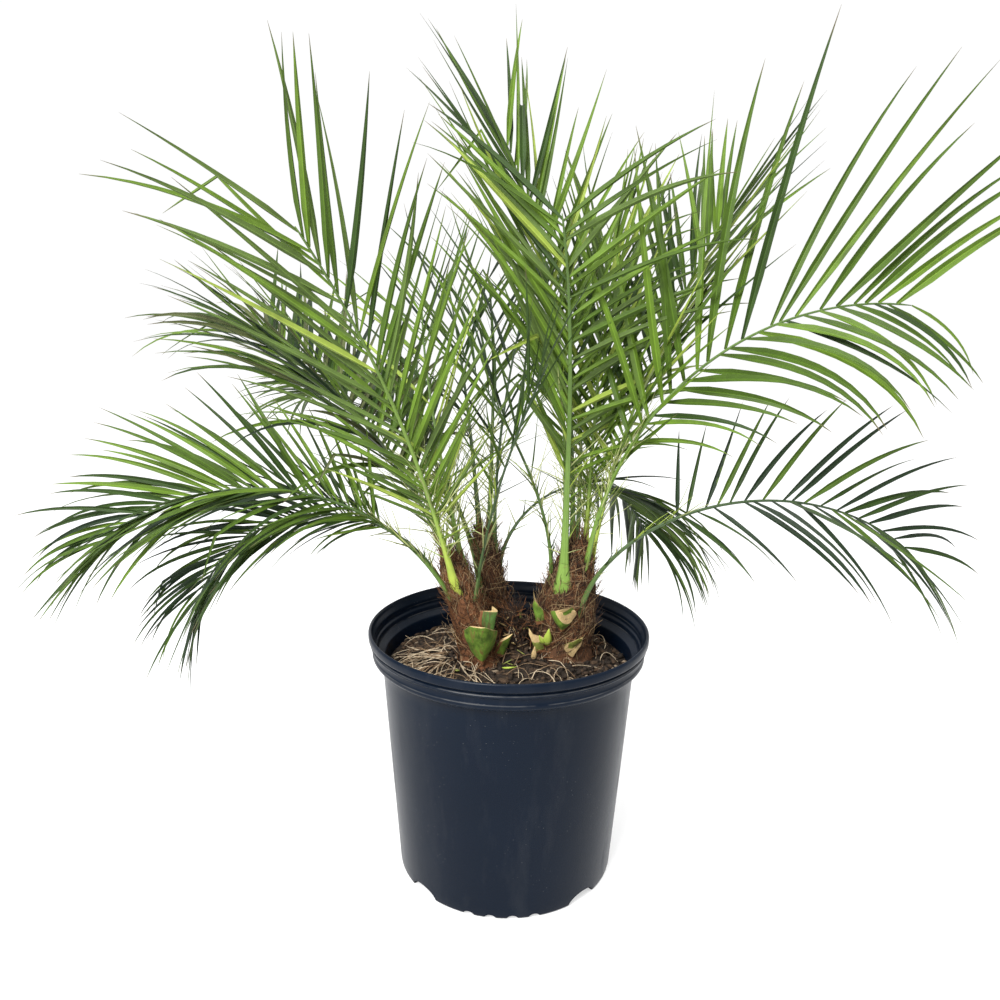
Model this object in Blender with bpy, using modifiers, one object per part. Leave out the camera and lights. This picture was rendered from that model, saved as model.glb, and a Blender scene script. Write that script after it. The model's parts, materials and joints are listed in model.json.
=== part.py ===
"""Pygmy date palm in a round black nursery pot, a clump of three short stems.

Metres, +Z up. The pot stands on z = 0 with its axis at x = y = 0, +X is the
right-hand side and -Y the front. Each frond is one node, or two where it bends
round a wide gap: a tapering rib with thin leaflets fused along both sides.
"""

import math
import random
from dataclasses import dataclass

import bmesh
import bpy
from mathutils import Vector
from mathutils.bvhtree import BVHTree

# Clearance between pieces that sit against each other.
GAP = 0.0003

# Nursery pot of about 3 gallons, 254 mm high and 279 mm across its rim.
POT_HEIGHT = 0.254
RIM_RADIUS = 0.1395
BAND_RADIUS = 0.1345
BAND_HEIGHT = 0.026
WALL_TOP_RADIUS = 0.126
WALL_FOOT_RADIUS = 0.110
STEP_HEIGHT = 0.0135
STEP_RADIUS = 0.0920
WALL = 0.0030
FLOOR = 0.0050
POT_STEPS = 40
DRAIN_NOTCHES = 4
DRAIN_NOTCH_TURN = 43.0
DRAIN_NOTCH_SIZE = (0.014, 0.034, 0.0105)
FOOT_NOTCHES = 4
FOOT_NOTCH_PITCH = 11.0
FOOT_NOTCH_SIZE = (0.011, 0.011, 0.0032)

# Potting mix, a low mound that carries the stems on its flat middle.
SOIL_EDGE = 0.212
SOIL_TOP = 0.225
SOIL_FLAT_RADIUS = 0.080

# Ribs and leaflets of the fronds.
RIB_POINTS = 11
RIB_FOOT_RADIUS = 0.0052
RIB_TIP_RADIUS = 0.0013
SPLIT_GAP = 0.0008
LEAFLET_HALF_WIDTH = 0.0068
LEAFLET_MIDDLE = 0.42
LEAFLET_MIN_THICKNESS = 0.0022
TEST_MARGIN = 0.0005
RETRIES = ((0, 1.0), (9, 1.0), (-9, 1.0), (18, 0.95), (-18, 0.9), (0, 0.8), (12, 0.7), (-12, 0.6))


@dataclass(frozen=True)
class Stem:
    """A short trunk: foot and top of its axis, and its radii up the height."""

    name: str
    foot: tuple
    top: tuple
    flare: float
    waist: float
    neck: float
    tip: float


@dataclass(frozen=True)
class Frond:
    """One frond: where it leaves its stem, how its rib runs, and its leaflets.

    Angles are in degrees. height is the foot's height above the floor and
    around the side of the stem that it stands on. The rib sets out along
    heading at the slope rise and ends at the slope end, turned by turn.
    """

    name: str
    stem: str
    height: float
    around: float
    heading: float
    rise: float
    end: float
    length: float
    leaf: float
    turn: float = 0.0
    bend: float = 1.3
    bare: float = 0.30
    roll: float = 0.0
    lift: float = 22.0
    droop: float = 0.12
    wide: float = 50.0
    narrow: float = 22.0
    last: float = 0.78
    pairs: int = 11
    split: float = 0.0


@dataclass(frozen=True)
class CutBase:
    """The stub of an old leaf, left on a stem when the leaf was cut off."""

    name: str
    stem: str
    height: float
    around: float
    lean: float
    length: float
    width: float
    thickness: float
    colour: str


STEMS = (
    Stem("left_stem", (-0.028, -0.028), (-0.059, -0.020, 0.334), 0.021, 0.0165, 0.0125, 0.0065),
    Stem("rear_stem", (-0.011, 0.024), (-0.028, 0.034, 0.342), 0.0175, 0.0140, 0.0110, 0.0062),
    Stem("right_stem", (0.052, 0.000), (0.068, 0.010, 0.338), 0.034, 0.0290, 0.0165, 0.0070),
)

FRONDS = (
    Frond("frond_left_front", "left_stem", 0.304, 255, 222, 73, 48, 0.36, 0.205, turn=12, bend=1.3,
          roll=-48, bare=0.28, wide=52, narrow=24, lift=12, droop=0.10),
    Frond("frond_left_inner", "left_stem", 0.318, 40, 125, 66, 42, 0.30, 0.18, turn=-30, roll=20,
          wide=52, narrow=28),
    Frond("frond_left_low", "left_stem", 0.292, 205, 184, 62, -40, 0.365, 0.14, turn=8, bend=1.0,
          roll=40, droop=0.15, last=0.65, split=0.62),
    Frond("frond_left_drooping", "left_stem", 0.280, 160, 174, 69, -68, 0.31, 0.120, turn=30,
          bend=1.1, bare=0.35, roll=32, lift=12, droop=0.26, wide=62, narrow=34, split=0.58),
    Frond("frond_left_rear", "left_stem", 0.300, 110, 148, 66, 20, 0.35, 0.15, bend=0.9,
          bare=0.35, droop=0.42, wide=62, narrow=30),
    Frond("frond_middle_front", "left_stem", 0.290, 330, 335, 84, 62, 0.24, 0.15, turn=-10,
          bend=0.9, bare=0.40, wide=45, pairs=10),
    Frond("frond_rear_left_upright", "rear_stem", 0.328, 122, 104, 66, 40, 0.32, 0.17, bare=0.35),
    Frond("frond_rear_upright", "rear_stem", 0.331, 50, 80, 84, 45, 0.29, 0.17, turn=20,
          bare=0.35),
    Frond("frond_middle_inner", "rear_stem", 0.322, 350, 50, 92, 55, 0.25, 0.15, turn=20,
          bare=0.35, pairs=10),
    Frond("frond_behind_right", "rear_stem", 0.298, 25, 35, 92, -62, 0.275, 0.16, bend=0.75,
          bare=0.48, droop=0.42, lift=5, wide=58, narrow=30, pairs=9, split=0.60),
    Frond("frond_rear_left_low", "rear_stem", 0.296, 215, 128, 66, -20, 0.40, 0.16, turn=8,
          bend=1.1, bare=0.34, split=0.60),
    Frond("frond_right_front", "right_stem", 0.298, 245, 262, 96, 68, 0.35, 0.20, turn=-20,
          bend=1.7, roll=-22, wide=54, narrow=36),
    Frond("frond_right_wide", "right_stem", 0.318, 314, 349, 82, -6, 0.418, 0.22, turn=10,
          bend=1.2, bare=0.34, droop=0.08, lift=12, roll=-62, wide=56, narrow=36, last=0.50,
          split=0.60),
    Frond("frond_right_low", "right_stem", 0.278, 300, 352, 84, -38, 0.39, 0.15, turn=24,
          bend=0.65, bare=0.32, droop=0.10, lift=20, roll=-55, wide=66, narrow=28, split=0.62),
    Frond("frond_right_inner", "right_stem", 0.300, 185, 165, 96, 38, 0.27, 0.16, turn=-35,
          bend=0.65, bare=0.35),
    Frond("frond_right_upright", "right_stem", 0.322, 95, 95, 80, 20, 0.37, 0.18, turn=-8,
          bend=1.2),
    Frond("frond_right_rear", "right_stem", 0.320, 45, 72, 82, 62, 0.315, 0.18, turn=10, bend=0.9,
          droop=0.05, wide=46, narrow=19),
    Frond("frond_right_outer", "right_stem", 0.314, 8, 28, 79, 48, 0.38, 0.20, turn=10, bend=1.1,
          wide=52, narrow=24),
    Frond("frond_right_tall", "right_stem", 0.322, 140, 140, 90, 60, 0.41, 0.20, bend=1.5,
          roll=18, droop=0.05, wide=46, narrow=18, lift=12),
    Frond("frond_rear_right_low", "right_stem", 0.292, 70, 82, 72, -25, 0.42, 0.17, turn=10,
          bend=1.1, bare=0.32, split=0.60),
)

CUT_BASES = (
    CutBase("cut_base_large", "left_stem", 0.236, 280, 18, 0.038, 0.030, 0.012, "green"),
    CutBase("cut_base_small", "left_stem", 0.234, 352, 24, 0.022, 0.015, 0.008, "green"),
    CutBase("cut_base_dark", "left_stem", 0.262, 326, 10, 0.018, 0.018, 0.009, "green"),
    CutBase("cut_base_pointed", "right_stem", 0.262, 215, 14, 0.032, 0.014, 0.008, "tan"),
    CutBase("cut_base_front", "right_stem", 0.262, 262, 22, 0.024, 0.024, 0.010, "tan"),
    CutBase("cut_base_low_left", "right_stem", 0.236, 225, 26, 0.020, 0.014, 0.007, "green"),
    CutBase("cut_base_low_right", "right_stem", 0.236, 285, 28, 0.018, 0.016, 0.007, "tan"),
    CutBase("cut_base_rear", "right_stem", 0.262, 60, 18, 0.026, 0.020, 0.010, "tan"),
)


def clear_scene():
    """Remove whatever the scene holds."""
    for obj in list(bpy.data.objects):
        bpy.data.objects.remove(obj, do_unlink=True)


def make_collection(name):
    """Return a new collection linked to the scene."""
    collection = bpy.data.collections.new(name)
    bpy.context.scene.collection.children.link(collection)
    return collection


def make_material(name, colour, roughness, specular=0.5):
    """Return a Principled material of one colour."""
    material = bpy.data.materials.new(name)
    material.use_nodes = True
    shader = material.node_tree.nodes["Principled BSDF"]
    shader.inputs["Base Color"].default_value = (*colour, 1.0)
    shader.inputs["Roughness"].default_value = roughness
    shader.inputs["Metallic"].default_value = 0.0
    shader.inputs["Specular IOR Level"].default_value = specular
    material.diffuse_color = (*colour, 1.0)
    return material


def mesh_object(name, mesh, collection, material=None):
    """Link an object that shows the mesh."""
    obj = bpy.data.objects.new(name, mesh)
    collection.objects.link(obj)
    if material is not None:
        mesh.materials.clear()
        mesh.materials.append(material)
    return obj


def remove_object(obj):
    """Remove an object and the mesh or curve that it showed."""
    data = obj.data
    bpy.data.objects.remove(obj, do_unlink=True)
    if isinstance(data, bpy.types.Mesh):
        bpy.data.meshes.remove(data)
    elif isinstance(data, bpy.types.Curve):
        bpy.data.curves.remove(data)


def applied_mesh(obj):
    """Return a mesh of the object with its modifiers applied."""
    bpy.context.view_layer.update()
    graph = bpy.context.evaluated_depsgraph_get()
    return bpy.data.meshes.new_from_object(obj.evaluated_get(graph))


def tube(name, points, radii, bevel_resolution, collection):
    """Return a closed mesh tube through the points, with a radius at each."""
    curve = bpy.data.curves.new(name, "CURVE")
    curve.dimensions = "3D"
    curve.bevel_depth = 1.0
    curve.bevel_resolution = bevel_resolution
    curve.use_fill_caps = True
    spline = curve.splines.new("POLY")
    spline.points.add(len(points) - 1)
    for spot, place, radius in zip(spline.points, points, radii):
        spot.co = (*place, 1.0)
        spot.radius = radius
    source = bpy.data.objects.new(name + "_curve", curve)
    collection.objects.link(source)
    mesh = applied_mesh(source)
    remove_object(source)
    bm = bmesh.new()
    bm.from_mesh(mesh)
    bmesh.ops.remove_doubles(bm, verts=bm.verts, dist=1e-6)
    bmesh.ops.recalc_face_normals(bm, faces=bm.faces)
    bm.to_mesh(mesh)
    bm.free()
    return mesh_object(name, mesh, collection)


def boolean(obj, other, operation, solver="MANIFOLD"):
    """Join a collection to the object, or cut it or another object from it."""
    modifier = obj.modifiers.new("join", "BOOLEAN")
    modifier.operation = operation
    modifier.solver = solver
    if isinstance(other, bpy.types.Collection):
        modifier.operand_type = "COLLECTION"
        modifier.collection = other
    else:
        modifier.object = other
    mesh = applied_mesh(obj)
    old = obj.data
    obj.modifiers.clear()
    obj.data = mesh
    bpy.data.meshes.remove(old)


def keep_largest(obj):
    """Drop every loose scrap of the mesh but its largest island."""
    bm = bmesh.new()
    bm.from_mesh(obj.data)
    seen = set()
    islands = []
    for start in bm.faces:
        if start in seen:
            continue
        island = []
        queue = [start]
        seen.add(start)
        while queue:
            face = queue.pop()
            island.append(face)
            for edge in face.edges:
                for other in edge.link_faces:
                    if other not in seen:
                        seen.add(other)
                        queue.append(other)
        islands.append(island)
    islands.sort(key=len, reverse=True)
    for island in islands[1:]:
        bmesh.ops.delete(bm, geom=island, context="FACES")
    bm.to_mesh(obj.data)
    bm.free()
    return len(islands) - 1


def smooth(obj, angle=math.radians(35)):
    """Shade the round faces smooth and leave sharp edges sharp."""
    for face in obj.data.polygons:
        face.use_smooth = True
    bm = bmesh.new()
    bm.from_mesh(obj.data)
    for edge in bm.edges:
        edge.smooth = len(edge.link_faces) == 2 and edge.calc_face_angle(0.0) < angle
    bm.to_mesh(obj.data)
    bm.free()


def turned(name, profile, collection, material, steps=POT_STEPS):
    """Turn a profile of (radius, height) pairs about Z into one closed solid."""
    mesh = bpy.data.meshes.new(name)
    edges = [(i, i + 1) for i in range(len(profile) - 1)]
    mesh.from_pydata([(r, 0.0, z) for r, z in profile], edges, [])
    obj = mesh_object(name, mesh, collection, material)
    screw = obj.modifiers.new("turn", "SCREW")
    screw.axis = "Z"
    screw.steps = steps
    screw.render_steps = steps
    screw.use_merge_vertices = True
    screw.merge_threshold = 1e-5
    finished = applied_mesh(obj)
    obj.modifiers.clear()
    obj.data = finished
    bpy.data.meshes.remove(mesh)
    return obj


def inner_radius(height):
    """Return the radius of the pot's inside wall at a height."""
    share = height / (POT_HEIGHT - BAND_HEIGHT)
    outer = WALL_FOOT_RADIUS + (WALL_TOP_RADIUS - WALL_FOOT_RADIUS) * min(max(share, 0.0), 1.0)
    return outer - WALL


def build_pot(collection, cutters, material):
    """Build the pot: a tapered wall, a ridged rim band and a notched foot."""
    band_foot = POT_HEIGHT - BAND_HEIGHT
    profile = [
        (0.0, FLOOR),
        (STEP_RADIUS - 0.004, FLOOR),
        (STEP_RADIUS, STEP_HEIGHT),
        (inner_radius(STEP_HEIGHT), STEP_HEIGHT),
        (inner_radius(band_foot), band_foot),
        (BAND_RADIUS - WALL, band_foot + 0.003),
        (BAND_RADIUS - WALL, POT_HEIGHT - 0.008),
        (RIM_RADIUS - WALL, POT_HEIGHT - 0.003),
        (RIM_RADIUS - 0.0015, POT_HEIGHT),
        (RIM_RADIUS, POT_HEIGHT - 0.003),
        (RIM_RADIUS, POT_HEIGHT - 0.008),
        (BAND_RADIUS + 0.0005, POT_HEIGHT - 0.0105),
        (BAND_RADIUS + 0.0030, POT_HEIGHT - 0.0130),
        (BAND_RADIUS + 0.0005, POT_HEIGHT - 0.0155),
        (BAND_RADIUS, band_foot + 0.0045),
        (BAND_RADIUS + 0.0010, band_foot + 0.0010),
        (BAND_RADIUS - 0.0030, band_foot - 0.0030),
        (WALL_TOP_RADIUS, band_foot - 0.0045),
        (WALL_FOOT_RADIUS, 0.0015),
        (WALL_FOOT_RADIUS - 0.0015, 0.0),
        (0.0, 0.0),
    ]
    pot = turned("nursery_pot", profile, collection, material)
    spread = 360.0 / DRAIN_NOTCHES
    for number in range(DRAIN_NOTCHES):
        turn = DRAIN_NOTCH_TURN + number * spread
        add_notch(cutters, turn, DRAIN_NOTCH_SIZE)
        for small in range(FOOT_NOTCHES):
            offset = (small - (FOOT_NOTCHES - 1) / 2.0) * FOOT_NOTCH_PITCH
            add_notch(cutters, turn + 0.5 * spread + offset, FOOT_NOTCH_SIZE)
    boolean(pot, cutters, "DIFFERENCE")
    for cutter in list(cutters.objects):
        remove_object(cutter)
    smooth(pot)
    return pot


def add_notch(cutters, turn, size):
    """Add the cutter of one notch in the pot's bottom edge, given as depth, width, height."""
    depth, width, height = size
    angle = math.radians(turn)
    across = Vector((-math.sin(angle), math.cos(angle), 0.0))
    outward = Vector((math.cos(angle), math.sin(angle), 0.0))
    reach = depth + 0.010
    centre = outward * (WALL_FOOT_RADIUS - depth + reach / 2.0)
    bm = bmesh.new()
    bmesh.ops.create_cube(bm, size=1.0)
    for vert in bm.verts:
        x, y, z = vert.co
        narrow = 1.0 - 0.3 * (z + 0.5)
        vert.co = centre + outward * x * reach + across * y * width * narrow
        vert.co.z = -0.002 + (z + 0.5) * (height + 0.002)
    mesh = bpy.data.meshes.new("notch")
    bm.to_mesh(mesh)
    bm.free()
    cutter = mesh_object("notch", mesh, cutters)
    cutter.hide_render = True
    cutter.display_type = "WIRE"


def build_soil(collection, material):
    """Build the potting mix, clear of the pot by the gap all over."""
    rings = []
    foot = FLOOR + GAP
    rings.append((0.0, SOIL_TOP))
    rings.append((SOIL_FLAT_RADIUS * 0.5, SOIL_TOP))
    rings.append((SOIL_FLAT_RADIUS, SOIL_TOP))
    edge = inner_radius(SOIL_EDGE) - GAP * 1.5
    rings.append((0.5 * (SOIL_FLAT_RADIUS + edge), SOIL_TOP - 0.006))
    rings.append((edge, SOIL_EDGE))
    rings.append((inner_radius(STEP_HEIGHT) - GAP * 1.5, STEP_HEIGHT + GAP))
    rings.append((STEP_RADIUS - GAP, STEP_HEIGHT + GAP))
    rings.append((STEP_RADIUS - 0.004 - GAP * 1.5, foot))
    rings.append((0.0, foot))
    soil = turned("potting_mix", rings, collection, material, steps=40)
    smooth(soil, math.radians(25))
    return soil


def stem_place(stem, height, grow=0.0):
    """Return the centre and radius of a stem at a height above the floor."""
    foot_z = SOIL_TOP + GAP
    share = min(max((height - foot_z) / (stem.top[2] - foot_z), 0.0), 1.0)
    lean = share ** 1.25
    centre = Vector((
        stem.foot[0] + (stem.top[0] - stem.foot[0]) * lean,
        stem.foot[1] + (stem.top[1] - stem.foot[1]) * lean,
        foot_z + (stem.top[2] - foot_z) * share,
    ))
    marks = (
        (0.0, stem.flare), (0.10, stem.waist * 1.04), (0.35, stem.waist),
        (0.62, stem.waist * 0.55 + stem.neck * 0.45), (0.84, stem.neck), (1.0, stem.tip),
    )
    radius = marks[-1][1]
    for (low, first), (high, second) in zip(marks, marks[1:]):
        if share <= high:
            radius = first + (second - first) * (share - low) / (high - low)
            break
    return centre, radius + grow


def build_stem(stem, collection, material, grow=0.0):
    """Build one stem as a tapering limb with a flat foot on the mix."""
    foot_z = SOIL_TOP + GAP
    height = stem.top[2] - foot_z
    points = []
    radii = []
    for share in (0.0, 0.04, 0.10, 0.22, 0.35, 0.48, 0.62, 0.74, 0.84, 0.93, 1.0):
        centre, radius = stem_place(stem, foot_z + share * height, grow)
        if share < 0.05:
            base, _ = stem_place(stem, foot_z)
            centre.x = base.x
            centre.y = base.y
        points.append(centre)
        radii.append(radius)
    points.append(points[-1] + Vector((0.0, 0.0, radii[-1] * 0.45)))
    radii.append(radii[-1] * 0.45)
    obj = tube(stem.name, points, radii, 4, collection)
    if material is not None:
        obj.data.materials.append(material)
        smooth(obj)
    return obj


def frond_frame(frond, share):
    """Return the rib's direction and upper side at a share of its length."""
    slope = math.radians(frond.rise + (frond.end - frond.rise) * share ** frond.bend)
    course = math.radians(frond.heading + frond.turn * share)
    along = Vector((
        math.cos(slope) * math.cos(course),
        math.cos(slope) * math.sin(course),
        math.sin(slope),
    ))
    upper = Vector((
        -math.sin(slope) * math.cos(course),
        -math.sin(slope) * math.sin(course),
        math.cos(slope),
    ))
    return along, upper


def frond_line(frond, stems, steps=60):
    """Walk along the rib and return its points at even shares of its length."""
    stem = stems[frond.stem]
    centre, radius = stem_place(stem, frond.height)
    side = math.radians(frond.around)
    reach = max(radius - 0.0015, 0.004)
    place = centre + Vector((math.cos(side), math.sin(side), 0.0)) * reach
    points = [place]
    for step in range(steps):
        along, _ = frond_frame(frond, (step + 0.5) / steps)
        place = place + along * (frond.length / steps)
        points.append(place)
    return points


def on_line(points, share):
    """Return the point at a share of a line's length."""
    spot = min(max(share, 0.0), 1.0) * (len(points) - 1)
    index = min(int(spot), len(points) - 2)
    return points[index].lerp(points[index + 1], spot - index)


def rib_radius(share):
    """Return the rib's radius at a share of its length."""
    return RIB_TIP_RADIUS + (RIB_FOOT_RADIUS - RIB_TIP_RADIUS) * (1.0 - share) ** 1.2


def leaf_share(frond, place):
    """Return a leaflet's length as a share of the frond's longest one."""
    if place < 0.45:
        return 0.55 + 0.45 * math.sin(place / 0.45 * math.pi / 2.0)
    return 1.0 - (1.0 - frond.last) * ((place - 0.45) / 0.55) ** 1.6


def leaflet_shape(root, along, across, frond, length, margin):
    """Return a mesh of one leaflet: a pointed blade that droops to its tip."""
    drop = Vector((0.0, 0.0, -frond.droop * length))
    middle = root + along * length * LEAFLET_MIDDLE + drop * LEAFLET_MIDDLE ** 2
    tip = root + along * (length + 2.0 * margin) + drop
    thick = (tip - root).cross(across).normalized()
    half_width = min(LEAFLET_HALF_WIDTH, 0.055 * length) + margin
    half_thick = max(LEAFLET_MIN_THICKNESS, 0.0115 * length) / 2.0 + margin
    bm = bmesh.new()
    bmesh.ops.create_uvsphere(bm, u_segments=4, v_segments=2, radius=1.0)
    for vert in bm.verts:
        x, y, z = vert.co
        if z > 0.5:
            vert.co = tip
        elif z < -0.5:
            vert.co = root
        else:
            vert.co = middle + across * x * half_width + thick * y * half_thick
    return bm


def leaflets(frond, line):
    """Yield the place along the rib and the directions of each leaflet."""
    rng = random.Random(frond.name)
    for pair in range(frond.pairs):
        for side in (-1, 1):
            place = (pair + 0.5 + 0.2 * side) / frond.pairs
            share = frond.bare + (1.0 - frond.bare) * place
            along, upper = frond_frame(frond, share)
            sideways = along.cross(upper)
            roll = math.radians(frond.roll)
            flat = sideways * math.cos(roll) + upper * math.sin(roll)
            over = upper * math.cos(roll) - sideways * math.sin(roll)
            angle = frond.wide + (frond.narrow - frond.wide) * place ** 0.8 + rng.uniform(-4, 4)
            lift = frond.lift + rng.uniform(-6, 6) + (5 if pair % 2 else -5)
            length = frond.leaf * leaf_share(frond, place) * rng.uniform(0.93, 1.0)
            yield share, on_line(line, share), along, flat * side, over, angle, lift, length


def leaflet_blade(frond, spot, turn, shrink, margin):
    """Return the mesh of a leaflet, with its lift turned and length shrunk."""
    share, root, along, flat, over, angle, lift, length = spot
    lean = math.radians(angle)
    rise = math.radians(lift + turn)
    out = flat * math.cos(rise) + over * math.sin(rise)
    course = along * math.cos(lean) + out * math.sin(lean)
    across = (over * math.cos(rise) - flat * math.sin(rise)).cross(course).normalized()
    root = root - course * rib_radius(share) * 0.7
    return leaflet_shape(root, course, across, frond, length * shrink, margin)


def frond_parts(frond):
    """Return the name and the share of the rib of each node of the frond."""
    if not frond.split:
        return [(frond.name, 0.0, 1.0)]
    half = SPLIT_GAP / frond.length / 2.0
    return [
        (frond.name + "_base", 0.0, frond.split - half),
        (frond.name + "_tip", frond.split + half, 1.0),
    ]


def tree_of(obj):
    """Return a search tree of the object's faces."""
    bm = bmesh.new()
    bm.from_mesh(obj.data)
    tree = BVHTree.FromBMesh(bm)
    bm.free()
    return tree


def build_ribs(stems, cutters, collection, material):
    """Build every frond's bare rib, seated on its stem with the gap."""
    ribs = []
    for frond in FRONDS:
        line = frond_line(frond, stems)
        for name, start, finish in frond_parts(frond):
            count = max(5, round(RIB_POINTS * (finish - start)))
            shares = [start + (finish - start) * i / (count - 1) for i in range(count)]
            points = [on_line(line, share) for share in shares]
            radii = [rib_radius(share) for share in shares]
            rib = tube(name, points, radii, 0, collection)
            rib.data.materials.append(material)
            if start == 0.0:
                boolean(rib, cutters[frond.stem], "DIFFERENCE")
                keep_largest(rib)
            ribs.append((rib, frond, line, start, finish))
    return ribs


def build_leaflets(ribs, solids, work):
    """Fuse the leaflets on, leaving out those that would touch another node."""
    trees = {rib.name: [tree_of(rib)] for rib, *_ in ribs}
    fixed = [tree_of(solid) for solid in solids]
    placed = 0
    skipped = 0
    for rib, frond, line, start, finish in ribs:
        joined = []
        for spot in leaflets(frond, line):
            if not start <= spot[0] <= finish:
                continue
            for turn, shrink in RETRIES:
                trial = leaflet_blade(frond, spot, turn, shrink, TEST_MARGIN)
                tree = BVHTree.FromBMesh(trial)
                trial.free()
                others = [t for name, group in trees.items() if name != rib.name for t in group]
                if any(tree.overlap(other) for other in others + fixed):
                    continue
                blade = leaflet_blade(frond, spot, turn, shrink, 0.0)
                trees[rib.name].append(BVHTree.FromBMesh(blade))
                mesh = bpy.data.meshes.new("leaflet")
                blade.to_mesh(mesh)
                blade.free()
                joined.append(mesh_object("leaflet", mesh, work))
                placed += 1
                break
            else:
                skipped += 1
        if joined:
            boolean(rib, work, "UNION")
        for leaflet in joined:
            remove_object(leaflet)
        scraps = keep_largest(rib)
        if scraps:
            print(rib.name, "scraps dropped:", scraps)
    print("leaflets placed", placed, "left out", skipped)


def build_cut_base(base, stems, cutter, collection, material):
    """Build the stub of an old leaf, a flat tongue with a slanted end."""
    centre, radius = stem_place(stems[base.stem], base.height)
    side = math.radians(base.around)
    outward = Vector((math.cos(side), math.sin(side), 0.0))
    across = Vector((-math.sin(side), math.cos(side), 0.0))
    lean = math.radians(base.lean)
    along = Vector((0.0, 0.0, 1.0)) * math.cos(lean) + outward * math.sin(lean)
    depth = along.cross(across)
    foot = centre + outward * (radius + 0.15 * base.thickness)
    bm = bmesh.new()
    bmesh.ops.create_cone(bm, cap_ends=True, segments=8, radius1=0.5, radius2=0.36, depth=1.0)
    for vert in bm.verts:
        x, y, z = vert.co
        rise = z + 0.5
        slant = 0.35 * y * rise
        vert.co = (
            foot
            + across * x * base.width
            + depth * y * base.thickness * 1.6
            + along * (rise + slant) * base.length
        )
    low = SOIL_TOP + GAP
    for vert in bm.verts:
        vert.co.z = max(vert.co.z, low)
    bmesh.ops.recalc_face_normals(bm, faces=bm.faces)
    mesh = bpy.data.meshes.new(base.name)
    bm.to_mesh(mesh)
    bm.free()
    stub = mesh_object(base.name, mesh, collection, material)
    boolean(stub, cutter, "DIFFERENCE")
    keep_largest(stub)
    return stub


def main():
    """Build the whole plant."""
    clear_scene()
    plant = make_collection("potted_date_palm")
    work = make_collection("cutters")
    black = make_material("black_pot_plastic", (0.012, 0.014, 0.020), 0.32)
    brown = make_material("potting_mix_brown", (0.045, 0.028, 0.018), 0.95, 0.2)
    fibre = make_material("stem_fibre", (0.16, 0.075, 0.035), 0.9, 0.2)
    green = make_material("frond_green", (0.13, 0.26, 0.06), 0.45)
    base_colours = {
        "green": make_material("cut_base_green", (0.22, 0.36, 0.06), 0.5),
        "tan": make_material("cut_base_tan", (0.46, 0.36, 0.17), 0.7),
    }
    pot = build_pot(plant, work, black)
    soil = build_soil(plant, brown)
    stems = {stem.name: stem for stem in STEMS}
    stem_objects = {name: build_stem(stem, plant, fibre) for name, stem in stems.items()}
    grown = {name: build_stem(stem, work, None, GAP * 1.1) for name, stem in stems.items()}
    bases = []
    for base in CUT_BASES:
        colour = base_colours[base.colour]
        bases.append(build_cut_base(base, stems, grown[base.stem], plant, colour))
    ribs = build_ribs(stems, grown, plant, green)
    for cutter in grown.values():
        remove_object(cutter)
    build_leaflets(ribs, [pot, soil, *stem_objects.values(), *bases], work)
    bpy.data.collections.remove(work)
    for obj in plant.objects:
        obj.data.name = obj.name


if __name__ == "__main__":
    main()
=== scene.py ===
"""Looks of a potted pygmy date palm: a clump of three short fibrous stems with
twenty arching feather fronds, in a round black nursery pot.

Metres, +Z up, the pot on z = 0 with its axis at x = y = 0 and its front at -Y.
Every frond grows from its stem by the same rule as the solids, with finer leaflets.
"""

import json
import logging
import math
import random
from dataclasses import dataclass, field
from enum import Enum

import bpy
import numpy as np
from mathutils import Matrix, Vector

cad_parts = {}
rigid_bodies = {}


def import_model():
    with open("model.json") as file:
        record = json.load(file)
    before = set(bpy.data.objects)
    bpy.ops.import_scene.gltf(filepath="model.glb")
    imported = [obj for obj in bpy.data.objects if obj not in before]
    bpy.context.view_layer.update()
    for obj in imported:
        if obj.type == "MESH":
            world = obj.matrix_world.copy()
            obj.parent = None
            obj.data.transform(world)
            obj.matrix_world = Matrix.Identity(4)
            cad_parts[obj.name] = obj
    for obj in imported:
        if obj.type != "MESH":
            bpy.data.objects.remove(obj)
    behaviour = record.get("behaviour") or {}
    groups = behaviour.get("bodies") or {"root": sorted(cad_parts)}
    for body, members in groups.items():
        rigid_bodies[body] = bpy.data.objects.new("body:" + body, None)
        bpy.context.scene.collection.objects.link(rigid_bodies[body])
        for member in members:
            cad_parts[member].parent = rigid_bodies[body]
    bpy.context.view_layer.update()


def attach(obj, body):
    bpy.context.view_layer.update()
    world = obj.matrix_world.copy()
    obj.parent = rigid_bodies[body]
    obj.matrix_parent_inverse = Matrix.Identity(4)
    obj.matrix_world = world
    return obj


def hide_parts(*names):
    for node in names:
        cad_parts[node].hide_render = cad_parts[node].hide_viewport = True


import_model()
LOG = logging.getLogger("potted_date_palm")
BODY = "root"

# Pot and potting mix, as the solids have them.
POT_HEIGHT = 0.254
RIM_RADIUS = 0.1395
BAND_RADIUS = 0.1345
BAND_FOOT = 0.228
WALL_TOP_RADIUS = 0.126
WALL_FOOT_RADIUS = 0.110
STEP_HEIGHT = 0.0135
STEP_RADIUS = 0.0920
WALL = 0.0030
FLOOR = 0.0050
SOIL_EDGE = 0.212
SOIL_TOP = 0.225
SOIL_FLAT_RADIUS = 0.080
GAP = 0.0003

# Ribs of the fronds, and the fine end of any fibre or spine.
RIB_FOOT_RADIUS = 0.0052
RIB_TIP_RADIUS = 0.0013
STRAND_TIP = 0.00012

Colour = tuple[float, float, float, float]
Faces = list[tuple[int, ...]]
Inputs = dict[object, object]
Spot = tuple[float, float, float]


def clamp(value: float, low: float, high: float) -> float:
    """Return the value held between low and high."""
    return max(low, min(high, value))


def blend_between(share: float, first: float, second: float) -> float:
    """Return the number that lies at this share of the way from first to second."""
    return first + (second - first) * share


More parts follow.
